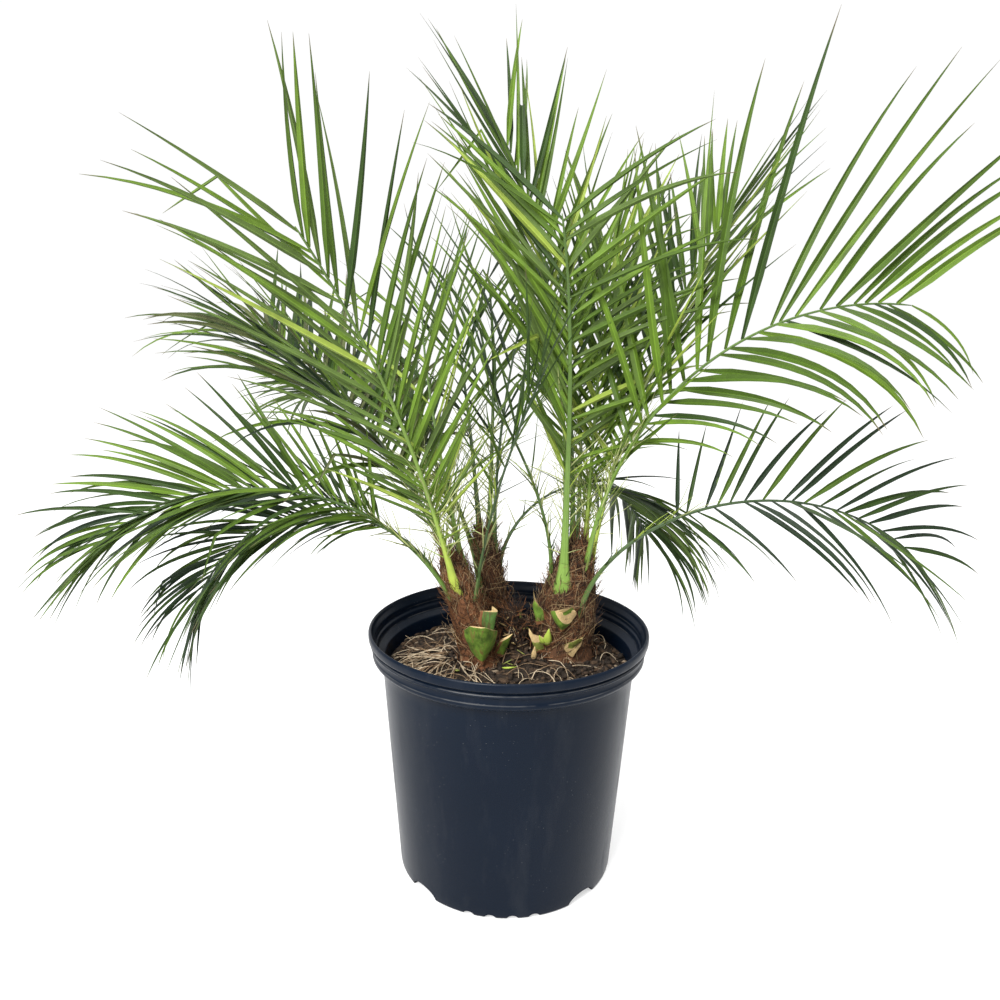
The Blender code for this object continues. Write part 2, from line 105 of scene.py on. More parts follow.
def outward(angle: float) -> Vector:
    """Return the level direction at an angle in radians."""
    return Vector((math.cos(angle), math.sin(angle), 0.0))


def inner_radius(height: float) -> float:
    """Return the radius of the pot's inner wall at this height."""
    share = clamp(height / BAND_FOOT, 0.0, 1.0)
    return blend_between(share, WALL_FOOT_RADIUS, WALL_TOP_RADIUS) - WALL


def in_pot(spot: Vector) -> bool:
    """Tell whether a point lies in the pot or close to its rim."""
    return math.hypot(spot.x, spot.y) < RIM_RADIUS + 0.004 and spot.z < POT_HEIGHT + 0.006


# Finishes


class Signal:
    """A number that varies over a surface, which adds Math nodes as it is used."""

    def __init__(self, recipe: "Recipe", socket: bpy.types.NodeSocket) -> None:
        """Keep the recipe that the number belongs to and the socket it comes from."""
        self.recipe = recipe
        self.socket = socket

    def _maths(self, operation: str, first: object, second: object) -> "Signal":
        """Add one Math node.

        Args:
            operation: Name of the Math node's operation.
            first: First number or signal.
            second: Second number or signal.

        Returns:
            The signal that comes out of the node.
        """
        node = self.recipe.node("ShaderNodeMath", {"operation": operation}, {0: first, 1: second})
        return Signal(self.recipe, node.outputs[0])

    def __add__(self, other: object) -> "Signal":
        """Return self + other."""
        return self._maths("ADD", self, other)

    def __radd__(self, other: object) -> "Signal":
        """Return other + self."""
        return self._maths("ADD", other, self)

    def __sub__(self, other: object) -> "Signal":
        """Return self - other."""
        return self._maths("SUBTRACT", self, other)

    def __rsub__(self, other: object) -> "Signal":
        """Return other - self."""
        return self._maths("SUBTRACT", other, self)

    def __mul__(self, other: object) -> "Signal":
        """Return self * other."""
        return self._maths("MULTIPLY", self, other)

    def __rmul__(self, other: object) -> "Signal":
        """Return other * self."""
        return self._maths("MULTIPLY", other, self)


class Recipe:
    """Node tree of one finish, with its shader ready to be fed."""

    def __init__(self, name: str) -> None:
        """Start a material with nothing but its shader and output.

        Args:
            name: Name of the material.
        """
        self.material = bpy.data.materials.new(name)
        self.material.use_nodes = True
        self.tree = self.material.node_tree
        self.tree.nodes.clear()
        self.shader = self.node("ShaderNodeBsdfPrincipled")
        output = self.node("ShaderNodeOutputMaterial")
        self.tree.links.new(self.shader.outputs[0], output.inputs[0])

    def node(
        self, kind: str, settings: Inputs | None = None, sockets: Inputs | None = None
    ) -> bpy.types.Node:
        """Add one node.

        Args:
            kind: Type of the node.
            settings: Its properties, set first.
            sockets: Values or links for its inputs, by name or number.

        Returns:
            The new node.
        """
        node = self.tree.nodes.new(kind)
        for key, value in (settings or {}).items():
            setattr(node, key, value)
        for key, value in (sockets or {}).items():
            self.feed(node, key, value)
        return node

    def feed(self, node: bpy.types.Node, key: object, value: object) -> None:
        """Set or link one input of a node.

        Args:
            node: The node.
            key: Name or number of the input.
            value: A plain value, a socket or a signal.
        """
        source = value.socket if isinstance(value, Signal) else value
        if isinstance(source, bpy.types.NodeSocket):
            self.tree.links.new(source, node.inputs[key])
        else:
            node.inputs[key].default_value = source

    def dress(self, **inputs: object) -> bpy.types.Material:
        """Feed the shader's inputs, given with _ for each space, and return the material.

        Args:
            **inputs: Values or links, by the input's name.

        Returns:
            The finished material.
        """
        for key, value in inputs.items():
            self.feed(self.shader, key.replace("_", " "), value)
        return self.material

    def place(self, stretch: Spot = (1.0, 1.0, 1.0)) -> bpy.types.NodeSocket:
        """Return Object coordinates, stretched along each axis."""
        spot = self.node("ShaderNodeTexCoord").outputs["Object"]
        return self.node("ShaderNodeMapping", None, {"Vector": spot, "Scale": stretch}).outputs[0]

    def across_and_along(self) -> tuple[Signal, Signal]:
        """Return the piece's own two surface coordinates as signals.

        Returns:
            The place across the piece and the place along it, each from zero to one.
        """
        spot = self.node("ShaderNodeUVMap", {"uv_map": "lay"}).outputs[0]
        split = self.node("ShaderNodeSeparateXYZ", None, {0: spot})
        return Signal(self, split.outputs[0]), Signal(self, split.outputs[1])

    def level(self) -> Signal:
        """Return the height above the floor as a signal."""
        return Signal(self, self.node("ShaderNodeSeparateXYZ", None, {0: self.place()}).outputs[2])

    def noise(
        self,
        scale: float,
        detail: float = 3.0,
        rough: float = 0.5,
        stretch: Spot = (1.0, 1.0, 1.0),
    ) -> Signal:
        """Return cloudy noise.

        Args:
            scale: How fine it is, in clouds to the metre.
            detail: Number of finer layers.
            rough: Strength of the finer layers.
            stretch: Stretch along each axis.

        Returns:
            The noise, from zero to one.
        """
        sockets = {"Vector": self.place(stretch), "Scale": scale, "Detail": detail, "Roughness": rough}
        return Signal(self, self.node("ShaderNodeTexNoise", None, sockets).outputs[0])

    def cells(self, scale: float) -> Signal:
        """Return the distance to the nearest of many scattered points."""
        sockets = {"Vector": self.place(), "Scale": scale}
        return Signal(self, self.node("ShaderNodeTexVoronoi", None, sockets).outputs[0])

    def ridge(self, across: Signal, count: float) -> Signal:
        """Return fine lengthwise ridges, so many of them across the piece."""
        wave = self.node("ShaderNodeMath", {"operation": "SINE"}, {0: across * (count * math.tau)})
        return Signal(self, wave.outputs[0])

    def step(self, signal: Signal, low: float, high: float) -> Signal:
        """Return the signal stretched so that low becomes zero and high one, and held there."""
        sockets = {"Value": signal, "From Min": low, "From Max": high}
        return Signal(self, self.node("ShaderNodeMapRange", {"clamp": True}, sockets).outputs[0])

    def mix(self, factor: object, first: object, second: object) -> bpy.types.NodeSocket:
        """Mix two colours.

        Args:
            factor: Share of the second colour, a number or a signal.
            first: First colour or socket.
            second: Second colour or socket.

        Returns:
            The mixed colour.
        """
        node = self.node("ShaderNodeMix", {"data_type": "RGBA"}, {0: factor, 6: first, 7: second})
        return node.outputs[2]

    def bump(self, height: Signal, strength: float, depth: float) -> bpy.types.NodeSocket:
        """Return a normal that is raised and lowered by the height, with depth in metres."""
        sockets = {"Height": height, "Strength": strength, "Distance": depth}
        return self.node("ShaderNodeBump", None, sockets).outputs[0]


def tint(red: float, green: float, blue: float) -> Colour:
    """Return a full colour from its three parts."""
    return (red, green, blue, 1.0)


def shade(colour: Colour, factor: float) -> Colour:
    """Return the colour made lighter or darker by a factor."""
    return (colour[0] * factor, colour[1] * factor, colour[2] * factor, 1.0)


class Tone(Enum):
    """Plain colours that are dealt out to the plant's small parts."""

    LIME = "leaf_lime"
    BRIGHT = "leaf_bright"
    MIDDLE = "leaf_middle"
    DEEP = "leaf_deep"
    DARK = "leaf_dark"
    OLIVE = "leaf_olive"
    PALE = "leaf_pale_underside"
    RIB_YOUNG = "rib_young"
    RIB_FRESH = "rib_fresh"
    RIB_GROWN = "rib_grown"
    RIB_AGED = "rib_aged"
    BUD = "bud_lime"
    NEEDLE = "needle_straw_green"
    SHEATH_RUST = "sheath_rust"
    SHEATH_BROWN = "sheath_brown"
    SHEATH_DARK = "sheath_dark"
    STRAND_STRAW = "strand_straw"
    STRAND_RUST = "strand_rust"
    STRAND_DARK = "strand_dark"
    PEAT = "mix_peat"
    BARK = "mix_bark"
    DUST = "mix_dust"
    ROOT = "dry_root"
    ROOT_BROWN = "brown_root"
    CUT_GREEN = "cut_base_green_skin"
    CUT_DARK = "cut_base_dark_skin"
    CUT_OLIVE = "cut_base_olive_skin"
    CUT_FACE = "cut_face_tan"
    PLASTIC = "black_pot_plastic"


@dataclass(frozen=True)
class MouldedPlastic:
    """Blow-moulded black plastic: satin and faintly scuffed and dusty, with painted highlight lines along two
    ridges.
    """

    tone: Tone = Tone.PLASTIC
    colour: Colour = tint(0.0015, 0.0043, 0.0102)
    # Colour of the dust, which also draws the painted highlight lines on the ridges.
    dust: Colour = tint(0.15, 0.15, 0.145)
    roughness: float = 0.26
    # Heights, reach and strength of the painted highlight lines, thin pale lines that stand in for light
    # catching the band's ridges.
    highlight_line_heights: tuple[float, ...] = (0.2318, 0.2414)
    highlight_line_reach_squared: float = 4.0e-7
    highlight_line_share: float = 0.42

    def material(self) -> bpy.types.Material:
        """Build the material.

        Returns:
            The finished material.
        """
        recipe = Recipe(self.tone.value)
        cloud = recipe.noise(9.0, 4.0, 0.6)
        haze = recipe.step(recipe.noise(34.0, 5.0, 0.65, (1.0, 1.0, 0.25)), 0.52, 0.80)
        dusty = recipe.step(recipe.noise(20.0, 2.0), 0.50, 0.62)
        specks = recipe.step(recipe.cells(210.0), 0.10, 0.04) * dusty
        base = recipe.mix(cloud * 0.7, self.colour, shade(self.colour, 1.7))
        base = recipe.mix(haze * 0.05, base, self.dust)
        base = recipe.mix(specks * 0.45, base, self.dust)
        # Painted highlight: thin pale lines at the two ridge heights, broken up by noise and drawn in the
        # dust colour, stand in for light catching the ridges.
        highlight_breakup = recipe.step(recipe.noise(26.0, 3.0, 0.6), 0.36, 0.62)
        for height in self.highlight_line_heights:
            off = recipe.level() - height
            line = recipe.step(off * off, self.highlight_line_reach_squared, 0.0)
            base = recipe.mix(line * highlight_breakup * self.highlight_line_share, base, self.dust)
        grain = recipe.noise(900.0, 2.0)
        return recipe.dress(
            Base_Color=base,
            Roughness=self.roughness + haze * 0.22 + cloud * 0.06,
            Specular_IOR_Level=0.105,
            Normal=recipe.bump(grain + recipe.noise(30.0, 2.0) * 2.0, 0.10, 0.0012),
        )


@dataclass(frozen=True)
class CrumbledMix:
    """Damp peat, bark fines and dust, in one of its tones."""

    tone: Tone
    dark: Colour
    light: Colour
    scale: float = 260.0

    def material(self) -> bpy.types.Material:
        """Build the material.

        Returns:
            The finished material.
        """
        recipe = Recipe(self.tone.value)
        clod = recipe.noise(self.scale, 5.0, 0.7)
        fine = recipe.noise(self.scale * 5.0, 3.0, 0.6)
        base = recipe.mix(recipe.step(clod, 0.35, 0.68), self.dark, self.light)
        base = recipe.mix(recipe.step(fine, 0.62, 0.78) * 0.5, base, shade(self.light, 1.7))
        return recipe.dress(
            Base_Color=base,
            Roughness=0.82 + fine * 0.16,
            Specular_IOR_Level=0.25,
            Normal=recipe.bump(clod + fine * 0.5, 0.7, 0.0012),
        )


@dataclass(frozen=True)
class PlantFibre:
    """Dry matted fibre of the old leaf sheaths, in one of its tones."""

    tone: Tone
    dark: Colour
    light: Colour
    rough: float = 0.86

    def material(self) -> bpy.types.Material:
        """Build the material.

        Returns:
            The finished material.
        """
        recipe = Recipe(self.tone.value)
        patch = recipe.noise(70.0, 4.0, 0.6)
        thread = recipe.noise(520.0, 4.0, 0.7, (1.0, 1.0, 0.22))
        base = recipe.mix(recipe.step(patch * 0.6 + thread * 0.6, 0.42, 0.78), self.dark, self.light)
        return recipe.dress(
            Base_Color=base,
            Roughness=self.rough + thread * 0.1,
            Specular_IOR_Level=0.25,
            Normal=recipe.bump(thread + patch * 0.6, 0.8, 0.0014),
        )


@dataclass(frozen=True)
class LeafSkin:
    """Waxy skin of a leaflet or rib, one plain green with fine lengthwise veins."""

    tone: Tone
    colour: Colour
    roughness: float = 0.42
    veins: float = 9.0
    change: float = 0.34
    dry_tip: float = 0.0
    dry: Colour = tint(0.105, 0.078, 0.045)

    def material(self) -> bpy.types.Material:
        """Build the material.

        Returns:
            The finished material.
        """
        recipe = Recipe(self.tone.value)
        across, along = recipe.across_and_along()
        cloud = recipe.noise(26.0, 3.0, 0.55)
        mottle = recipe.noise(240.0, 3.0, 0.6, (1.0, 1.0, 0.4))
        low, high = shade(self.colour, 1.0 - self.change), shade(self.colour, 1.0 + self.change)
        base = recipe.mix(recipe.step(cloud, 0.28, 0.72), low, high)
        base = recipe.mix(recipe.step(mottle, 0.55, 0.75) * 0.25, base, shade(self.colour, 1.6))
        off_middle = (across - 0.5) * (across - 0.5)
        midrib = recipe.step(off_middle, 0.012, 0.0) * self.dry_tip * 0.5
        base = recipe.mix(midrib, base, shade(self.colour, 2.2))
        withered = recipe.step(along + cloud * 0.16, 0.985, 1.06) * self.dry_tip
        base = recipe.mix(withered, base, self.dry)
        return recipe.dress(
            Base_Color=base,
            Roughness=self.roughness + mottle * 0.12,
            Specular_IOR_Level=0.20,
            Normal=recipe.bump(recipe.ridge(across, self.veins) * 0.5 + mottle, 0.25, 0.0006),
        )


@dataclass(frozen=True)
class RibSkin:
    """Smooth skin of a rib, palest at its foot and darker towards its tip, with fine lengthwise ridges."""

    tone: Tone
    foot: Colour
    middle: Colour
    tip: Colour
    veins: float = 7.0

    def material(self) -> bpy.types.Material:
        """Build the material.

        Returns:
            The finished material.
        """
        recipe = Recipe(self.tone.value)
        across, along = recipe.across_and_along()
        cloud = recipe.noise(55.0, 3.0, 0.6)
        fleck = recipe.noise(420.0, 3.0, 0.6, (1.0, 1.0, 0.3))
        base = recipe.mix(recipe.step(along + cloud * 0.08, 0.10, 0.30), self.foot, self.middle)
        base = recipe.mix(recipe.step(along + cloud * 0.10, 0.30, 0.85), base, self.tip)
        base = recipe.mix(recipe.step(cloud + fleck * 0.5, 0.66, 1.0) * 0.28, base, shade(self.tip, 0.7))
        return recipe.dress(
            Base_Color=base,
            Roughness=0.42 + fleck * 0.16,
            Specular_IOR_Level=0.36,
            Normal=recipe.bump(recipe.ridge(across, self.veins) * 0.6 + fleck, 0.45, 0.0008),
        )


@dataclass(frozen=True)
class CutBaseSkin:
    """Thick green skin of a leaf base, streaked brown along its veins."""

    tone: Tone
    colour: Colour
    stain: Colour
    vein: Colour = tint(0.36, 0.42, 0.09)

    def material(self) -> bpy.types.Material:
        """Build the material.

        Returns:
            The finished material.
        """
        recipe = Recipe(self.tone.value)
        streak = recipe.noise(300.0, 4.0, 0.6, (1.0, 1.0, 0.16))
        blotch = recipe.noise(85.0, 4.0, 0.65)
        low, high = shade(self.colour, 0.34), shade(self.colour, 1.45)
        base = recipe.mix(recipe.step(blotch, 0.34, 0.66), low, high)
        base = recipe.mix(recipe.step(streak, 0.56, 0.68) * 0.4, base, self.vein)
        base = recipe.mix(recipe.step(streak + blotch * 0.6, 0.82, 1.0) * 0.9, base, self.stain)
        return recipe.dress(
            Base_Color=base,
            Roughness=0.48 + streak * 0.25,
            Specular_IOR_Level=0.4,
            Normal=recipe.bump(streak + blotch * 0.4, 0.5, 0.0010),
        )


@dataclass(frozen=True)
class CutFace:
    """Pale woody cut through a leaf base, dotted with the ends of its fibres."""

    tone: Tone = Tone.CUT_FACE
    colour: Colour = tint(0.50, 0.36, 0.17)
    dot: Colour = tint(0.26, 0.15, 0.06)

    def material(self) -> bpy.types.Material:
        """Build the material.

        Returns:
            The finished material.
        """
        recipe = Recipe(self.tone.value)
        dots = recipe.step(recipe.cells(900.0), 0.45, 0.18)
        cloud = recipe.noise(120.0, 4.0, 0.6)
        base = recipe.mix(recipe.step(cloud, 0.3, 0.7), shade(self.colour, 0.72), shade(self.colour, 1.25))
        base = recipe.mix(dots * 0.6, base, self.dot)
        return recipe.dress(
            Base_Color=base,
            Roughness=0.74 + cloud * 0.15,
            Specular_IOR_Level=0.3,
            Normal=recipe.bump(dots + cloud, 0.4, 0.0006),
        )


@dataclass(frozen=True)
class PaleFloor:
    """Plain pale paper sweep under the pot."""

    name: str = "pale_floor"
    colour: Colour = tint(0.50, 0.50, 0.50)
    light: Colour = tint(1.0, 1.0, 1.0)
    glow: float = 0.55

    def material(self) -> bpy.types.Material:
        """Build the material.

        Returns:
            The finished material.
        """
        recipe = Recipe(self.name)
        fleck = recipe.noise(40.0, 3.0)
        base = recipe.mix(fleck, shade(self.colour, 0.99), self.colour)
        return recipe.dress(
            Base_Color=base,
            Roughness=0.9,
            Specular_IOR_Level=0.1,
            Emission_Color=self.light,
            Emission_Strength=self.glow,
        )


class Paints:
    """All finishes of the plant, each built once when it is first asked for."""

    FINISHES = (
        LeafSkin(Tone.LIME, tint(0.185, 0.245, 0.038), dry_tip=0.7),
        LeafSkin(Tone.BRIGHT, tint(0.077, 0.134, 0.013), dry_tip=0.8),
        LeafSkin(Tone.MIDDLE, tint(0.043, 0.080, 0.0080), dry_tip=0.9),
        LeafSkin(Tone.DEEP, tint(0.0195, 0.041, 0.0062), dry_tip=0.9),
        LeafSkin(Tone.DARK, tint(0.0100, 0.0215, 0.0078), dry_tip=0.9),
        LeafSkin(Tone.OLIVE, tint(0.066, 0.078, 0.028), dry_tip=1.0),
        LeafSkin(Tone.PALE, tint(0.062, 0.100, 0.020), 0.55, dry_tip=0.9),
        LeafSkin(Tone.NEEDLE, tint(0.34, 0.37, 0.15), 0.5, 2.0),
        LeafSkin(Tone.BUD, tint(0.36, 0.46, 0.07), 0.4, 5.0),
        RibSkin(Tone.RIB_YOUNG, tint(0.37, 0.45, 0.06), tint(0.175, 0.27, 0.045), tint(0.085, 0.145, 0.03)),
        RibSkin(Tone.RIB_FRESH, tint(0.15, 0.25, 0.038), tint(0.125, 0.21, 0.038), tint(0.07, 0.125, 0.028)),
        RibSkin(Tone.RIB_GROWN, tint(0.11, 0.19, 0.034), tint(0.074, 0.13, 0.03), tint(0.044, 0.08, 0.024)),
        RibSkin(Tone.RIB_AGED, tint(0.075, 0.13, 0.03), tint(0.044, 0.08, 0.024), tint(0.028, 0.052, 0.02)),
        PlantFibre(Tone.SHEATH_RUST, tint(0.030, 0.013, 0.006), tint(0.215, 0.090, 0.040)),
        PlantFibre(Tone.SHEATH_BROWN, tint(0.026, 0.012, 0.006), tint(0.150, 0.070, 0.034)),
        PlantFibre(Tone.SHEATH_DARK, tint(0.014, 0.008, 0.005), tint(0.070, 0.038, 0.022)),
        PlantFibre(Tone.STRAND_STRAW, tint(0.17, 0.11, 0.055), tint(0.42, 0.29, 0.15)),
        PlantFibre(Tone.STRAND_RUST, tint(0.075, 0.030, 0.012), tint(0.26, 0.115, 0.048)),
        PlantFibre(Tone.STRAND_DARK, tint(0.016, 0.009, 0.006), tint(0.070, 0.038, 0.022)),
        CrumbledMix(Tone.PEAT, tint(0.006, 0.0045, 0.0032), tint(0.036, 0.024, 0.016)),
        CrumbledMix(Tone.BARK, tint(0.020, 0.012, 0.007), tint(0.086, 0.053, 0.031)),
        CrumbledMix(Tone.DUST, tint(0.085, 0.062, 0.042), tint(0.270, 0.205, 0.140)),
        PlantFibre(Tone.ROOT, tint(0.25, 0.185, 0.110), tint(0.60, 0.49, 0.35)),
        PlantFibre(Tone.ROOT_BROWN, tint(0.10, 0.062, 0.034), tint(0.30, 0.20, 0.115)),
        CutBaseSkin(Tone.CUT_GREEN, tint(0.122, 0.212, 0.026), tint(0.130, 0.070, 0.022)),
        CutBaseSkin(Tone.CUT_DARK, tint(0.060, 0.130, 0.025), tint(0.060, 0.035, 0.015)),
        CutBaseSkin(Tone.CUT_OLIVE, tint(0.230, 0.270, 0.055), tint(0.150, 0.090, 0.035)),
        CutFace(Tone.CUT_FACE),
        MouldedPlastic(Tone.PLASTIC),
    )

    def __init__(self) -> None:
        """Start with no material built."""
        self._built: dict[Tone, bpy.types.Material] = {}
        self._finishes = {finish.tone: finish for finish in self.FINISHES}

    def of(self, tone: Tone) -> bpy.types.Material:
        """Return the material of a tone.

        Args:
            tone: The tone.

        Returns:
            Its material.
        """
        if tone not in self._built:
            self._built[tone] = self._finishes[tone].material()
        return self._built[tone]


# Shaping


def deselect() -> None:
    """Leave nothing selected, so that an operator acts on the new piece alone."""
    if bpy.context.object and bpy.context.object.mode != "OBJECT":
        bpy.ops.object.mode_set(mode="OBJECT")
    bpy.ops.object.select_all(action="DESELECT")


def activate(piece: bpy.types.Object) -> None:
    """Select one piece alone and make it the active one.

    Args:
        piece: The piece.
    """
    deselect()
    piece.select_set(True)
    bpy.context.view_layer.objects.active = piece


def edit_all() -> None:
    """Go into edit mode on the active piece, with all of it selected."""
    bpy.ops.object.mode_set(mode="EDIT")
    bpy.ops.mesh.select_all(action="SELECT")


def close_edit() -> None:
    """Turn all faces outwards and leave edit mode."""
    bpy.ops.mesh.select_all(action="SELECT")
    bpy.ops.mesh.normals_make_consistent(inside=False)
    bpy.ops.object.mode_set(mode="OBJECT")


def raise_ring(move: tuple[float, ...], goal: tuple[float, ...], scale: float) -> None:
    """Extrude the selected ring by a move, and scale it about its new centre."""
    bpy.ops.mesh.extrude_region_move(TRANSFORM_OT_translate={"value": move})
    bpy.ops.transform.resize(value=(scale, scale, 1.0), center_override=goal)


def settle(piece: bpy.types.Object, name: str) -> bpy.types.Object:
    """Name a piece and put its place in its mesh.

    Args:
        piece: The piece, which may be moved, turned or scaled.
        name: Its new name.

    Returns:
        The same piece, at the origin.
    """
    activate(piece)
    bpy.ops.object.transform_apply(location=True, rotation=True, scale=True)
    piece.name = name
    piece.data.name = name
    return piece


def apply_modifier(piece: bpy.types.Object, kind: str, **settings: object) -> None:
    """Add one modifier to a piece and apply it.

    Args:
        piece: The piece.
        kind: Type of the modifier.
        **settings: Its properties.
    """
    activate(piece)
    modifier = piece.modifiers.new(kind.lower(), kind)
    for key, value in settings.items():
        setattr(modifier, key, value)
    bpy.ops.object.modifier_apply(modifier=modifier.name)


def smooth_by_angle(piece: bpy.types.Object, degrees: float) -> None:
    """Shade a piece smooth, with sharp edges above this angle."""
    activate(piece)
    bpy.ops.object.shade_smooth_by_angle(angle=math.radians(degrees))


def emboss(
    piece: bpy.types.Object, pattern: bpy.types.Texture, grain: float, strength: float, **settings: object
) -> None:
    """Raise and lower a piece's skin by a pattern.

    Args:
        piece: The piece.
        pattern: The pattern.
        grain: Size of its lumps.
        strength: Height of its lumps.
        **settings: Further properties of the Displace modifier.
    """
    pattern.noise_scale = grain
    settings = {"direction": "NORMAL", "mid_level": 0.55, **settings}
    apply_modifier(piece, "DISPLACE", texture=pattern, texture_coords="LOCAL", strength=strength, **settings)


def paint(piece: bpy.types.Object, material: bpy.types.Material) -> None:
    """Give a piece one material, in place of its own."""
    piece.data.materials.clear()
    piece.data.materials.append(material)


def turned(name: str, outline: list[tuple[float, float]], steps: int) -> bpy.types.Object:
    """Turn an outline about the upright axis, by extruding and scaling a circle ring after ring.

    Args:
        name: Name of the piece.
        outline: Radius and height of each ring, none of them on the axis.
        steps: Number of points in each ring.

    Returns:
        The closed piece, capped at its first and last ring.
    """
    deselect()
    radius, height = outline[0]
    spot = (0.0, 0.0, height)
    bpy.ops.mesh.primitive_circle_add(vertices=steps, radius=radius, fill_type="NGON", location=spot)
    piece = bpy.context.object
    bpy.ops.object.transform_apply(location=True, rotation=True, scale=True)
    edit_all()
    bpy.ops.mesh.duplicate()
    bpy.ops.mesh.select_all(action="DESELECT")
    bpy.ops.object.mode_set(mode="OBJECT")
    half = len(piece.data.vertices) // 2
    for number, vert in enumerate(piece.data.vertices):
        vert.select = number >= half
    for number, face in enumerate(piece.data.polygons):
        face.select = number == 1
    bpy.ops.object.mode_set(mode="EDIT")
    for wider, higher in outline[1:]:
        raise_ring((0.0, 0.0, higher - height), (0.0, 0.0, higher), wider / radius)
        radius, height = wider, higher
    bpy.ops.mesh.select_all(action="SELECT")
    bpy.ops.mesh.remove_doubles(threshold=0.00001)
    close_edit()
    return settle(piece, name)


def rounded(points: list[tuple[float, float]], radius: float, steps: int = 2) -> list[tuple[float, float]]:
    """Round the corners of an outline.

    Args:
        points: The outline's corners.
        radius: How far before and after a corner the rounding starts.
        steps: Number of points between its two ends.

    Returns:
        The outline with each inner corner replaced by a short curve.
    """
    out = [points[0]]
    for before, corner, after in zip(points, points[1:], points[2:]):
        corner_v, arms = Vector(corner), []
        for end in (before, after):
            arm = Vector(end) - corner_v
            arms.append(corner_v + arm.normalized() * min(radius, arm.length * 0.45))
        for number in range(steps + 1):
            share = number / steps
            first = arms[0].lerp(corner_v, share)
            second = corner_v.lerp(arms[1], share)
            out.append(tuple(first.lerp(second, share)))
    out.append(points[-1])
    return out


@dataclass
class Bundle:
    """Points and faces of many small things, joined into one mesh."""

    points: list[np.ndarray] = field(default_factory=list)
    lays: list[np.ndarray] = field(default_factory=list)
    faces: Faces = field(default_factory=list)
    slots: list[int] = field(default_factory=list)
    tones: list[Tone] = field(default_factory=list)
    count: int = 0

    def slot(self, tone: Tone) -> int:
        """Return the number of a tone's material slot, added if it is new.

        Args:
            tone: The tone.

        Returns:
            The number of its slot.
        """
        if tone not in self.tones:
            self.tones.append(tone)
        return self.tones.index(tone)

    def add(self, points: np.ndarray, lay: np.ndarray, faces: Faces, slots: list[int]) -> None:
        """Add one small thing.

        Args:
            points: Its points.
            lay: Surface coordinates of its points.
            faces: Its faces, by point number.
            slots: Material slot of each face.
        """
        start = self.count
        self.points.append(points)
        self.lays.append(lay)
        self.faces.extend(tuple(start + corner for corner in face) for face in faces)
        self.slots.extend(slots)
        self.count += len(points)

    def add_tube(
        self,
        path: list[Vector],
        wide: list[float],
        thick: list[float],
        sides: int,
        tone: Tone,
        over: Vector | None = None,
    ) -> None:
        """Add a closed tube of one tone.

        Args:
            path: Points of its middle line.
            wide: Half-width at each point, across.
            thick: Half-thickness at each point, towards over.
            sides: Number of its sides.
            tone: Its colour.
            over: Direction of its thickness at the first point, any if it is left out.
        """
        points, lay = tube_points(path, wide, thick, sides, over)
        faces = tube_faces(len(path), sides)
        self.add(points, lay, faces, [self.slot(tone)] * len(faces))

    def add_strand(self, path: list[Vector], radius: float, tip: float, tone: Tone, sides: int = 3) -> None:
        """Add one thin strand, whose radius goes from its foot to its tip.

        Args:
            path: Points of its middle line.
            radius: Its radius at the foot.
            tip: Its radius at the tip.
            tone: Its colour.
            sides: Number of its sides.
        """
        last = len(path) - 1
        radii = [blend_between(number / last, radius, tip) for number in range(last + 1)]
        self.add_tube(path, radii, radii, sides, tone)

    def piece(self, name: str, paints: Paints, crisp: float = 0.0) -> bpy.types.Object:
        """Build the joined mesh.

        Args:
            name: Name of the piece.
            paints: Where its materials come from.
            crisp: Angle in degrees above which an edge stays sharp, or zero for none.

        Returns:
            The finished piece.
        """
        mesh = bpy.data.meshes.new(name)
        points = np.concatenate(self.points)
        lays = np.concatenate(self.lays)
        mesh.from_pydata(points.tolist(), [], self.faces)
        layer = mesh.uv_layers.new(name="lay")
        corners = np.empty(len(mesh.loops), np.int32)
        mesh.loops.foreach_get("vertex_index", corners)
        layer.data.foreach_set("uv", lays[corners].astype(np.float32).ravel())
        mesh.polygons.foreach_set("material_index", np.array(self.slots, np.int32))
        mesh.polygons.foreach_set("use_smooth", np.ones(len(mesh.polygons), bool))
        for tone in self.tones:
            mesh.materials.append(paints.of(tone))
        mesh.update()
        piece = bpy.data.objects.new(name, mesh)
        bpy.context.scene.collection.objects.link(piece)
        if crisp:
            smooth_by_angle(piece, crisp)
        return piece


def tube_faces(rings: int, sides: int) -> Faces:
    """Return the faces of a closed tube whose points are listed ring after ring.

    Args:
        rings: Number of rings.
        sides: Number of points in each ring.

    Returns:
        The faces, by point number, with the two ends last.
    """
    faces = []
    for ring in range(rings - 1):
        low, high = ring * sides, (ring + 1) * sides
        for side in range(sides):
            after = (side + 1) % sides
            faces.append((low + side, low + after, high + after, high + side))
    faces.append(tuple(reversed(range(sides))))
    last = (rings - 1) * sides
    faces.append(tuple(range(last, last + sides)))
    return faces


def tube_points(
    path: list[Vector], wide: list[float], thick: list[float], sides: int, over: Vector | None = None
) -> tuple[np.ndarray, np.ndarray]:
    """Return the points of a tube round a path.

    Args:
        path: Points of the middle line.
        wide: Half-width at each point, across.
        thick: Half-thickness at each point, towards over.
        sides: Number of sides.
        over: Direction of the thickness at the first point, any if it is left out.

    Returns:
        The points, ring after ring, and their surface coordinates.
    """
    points, lay = [], []
    guide = over or Vector((0.13, 0.37, 0.92))
    for number, spot in enumerate(path):
        before = path[max(number - 1, 0)]
        after = path[min(number + 1, len(path) - 1)]
        tangent = (after - before).normalized()
        across = guide.cross(tangent)
        across = across.normalized() if across.length > 1e-6 else tangent.orthogonal().normalized()
        guide = tangent.cross(across)
        for side in range(sides):
            angle = side / sides * math.tau
            points.append(
                spot
                + across * (math.cos(angle) * wide[number])
                + guide * (math.sin(angle) * thick[number])
            )
            lay.append((side / sides, number / (len(path) - 1)))
    return np.array(points), np.array(lay)


def shake(rng: random.Random, spread: float) -> Vector:
    """Return a small random move, alike in all directions."""
    return Vector([rng.gauss(0.0, spread) for _ in range(3)])


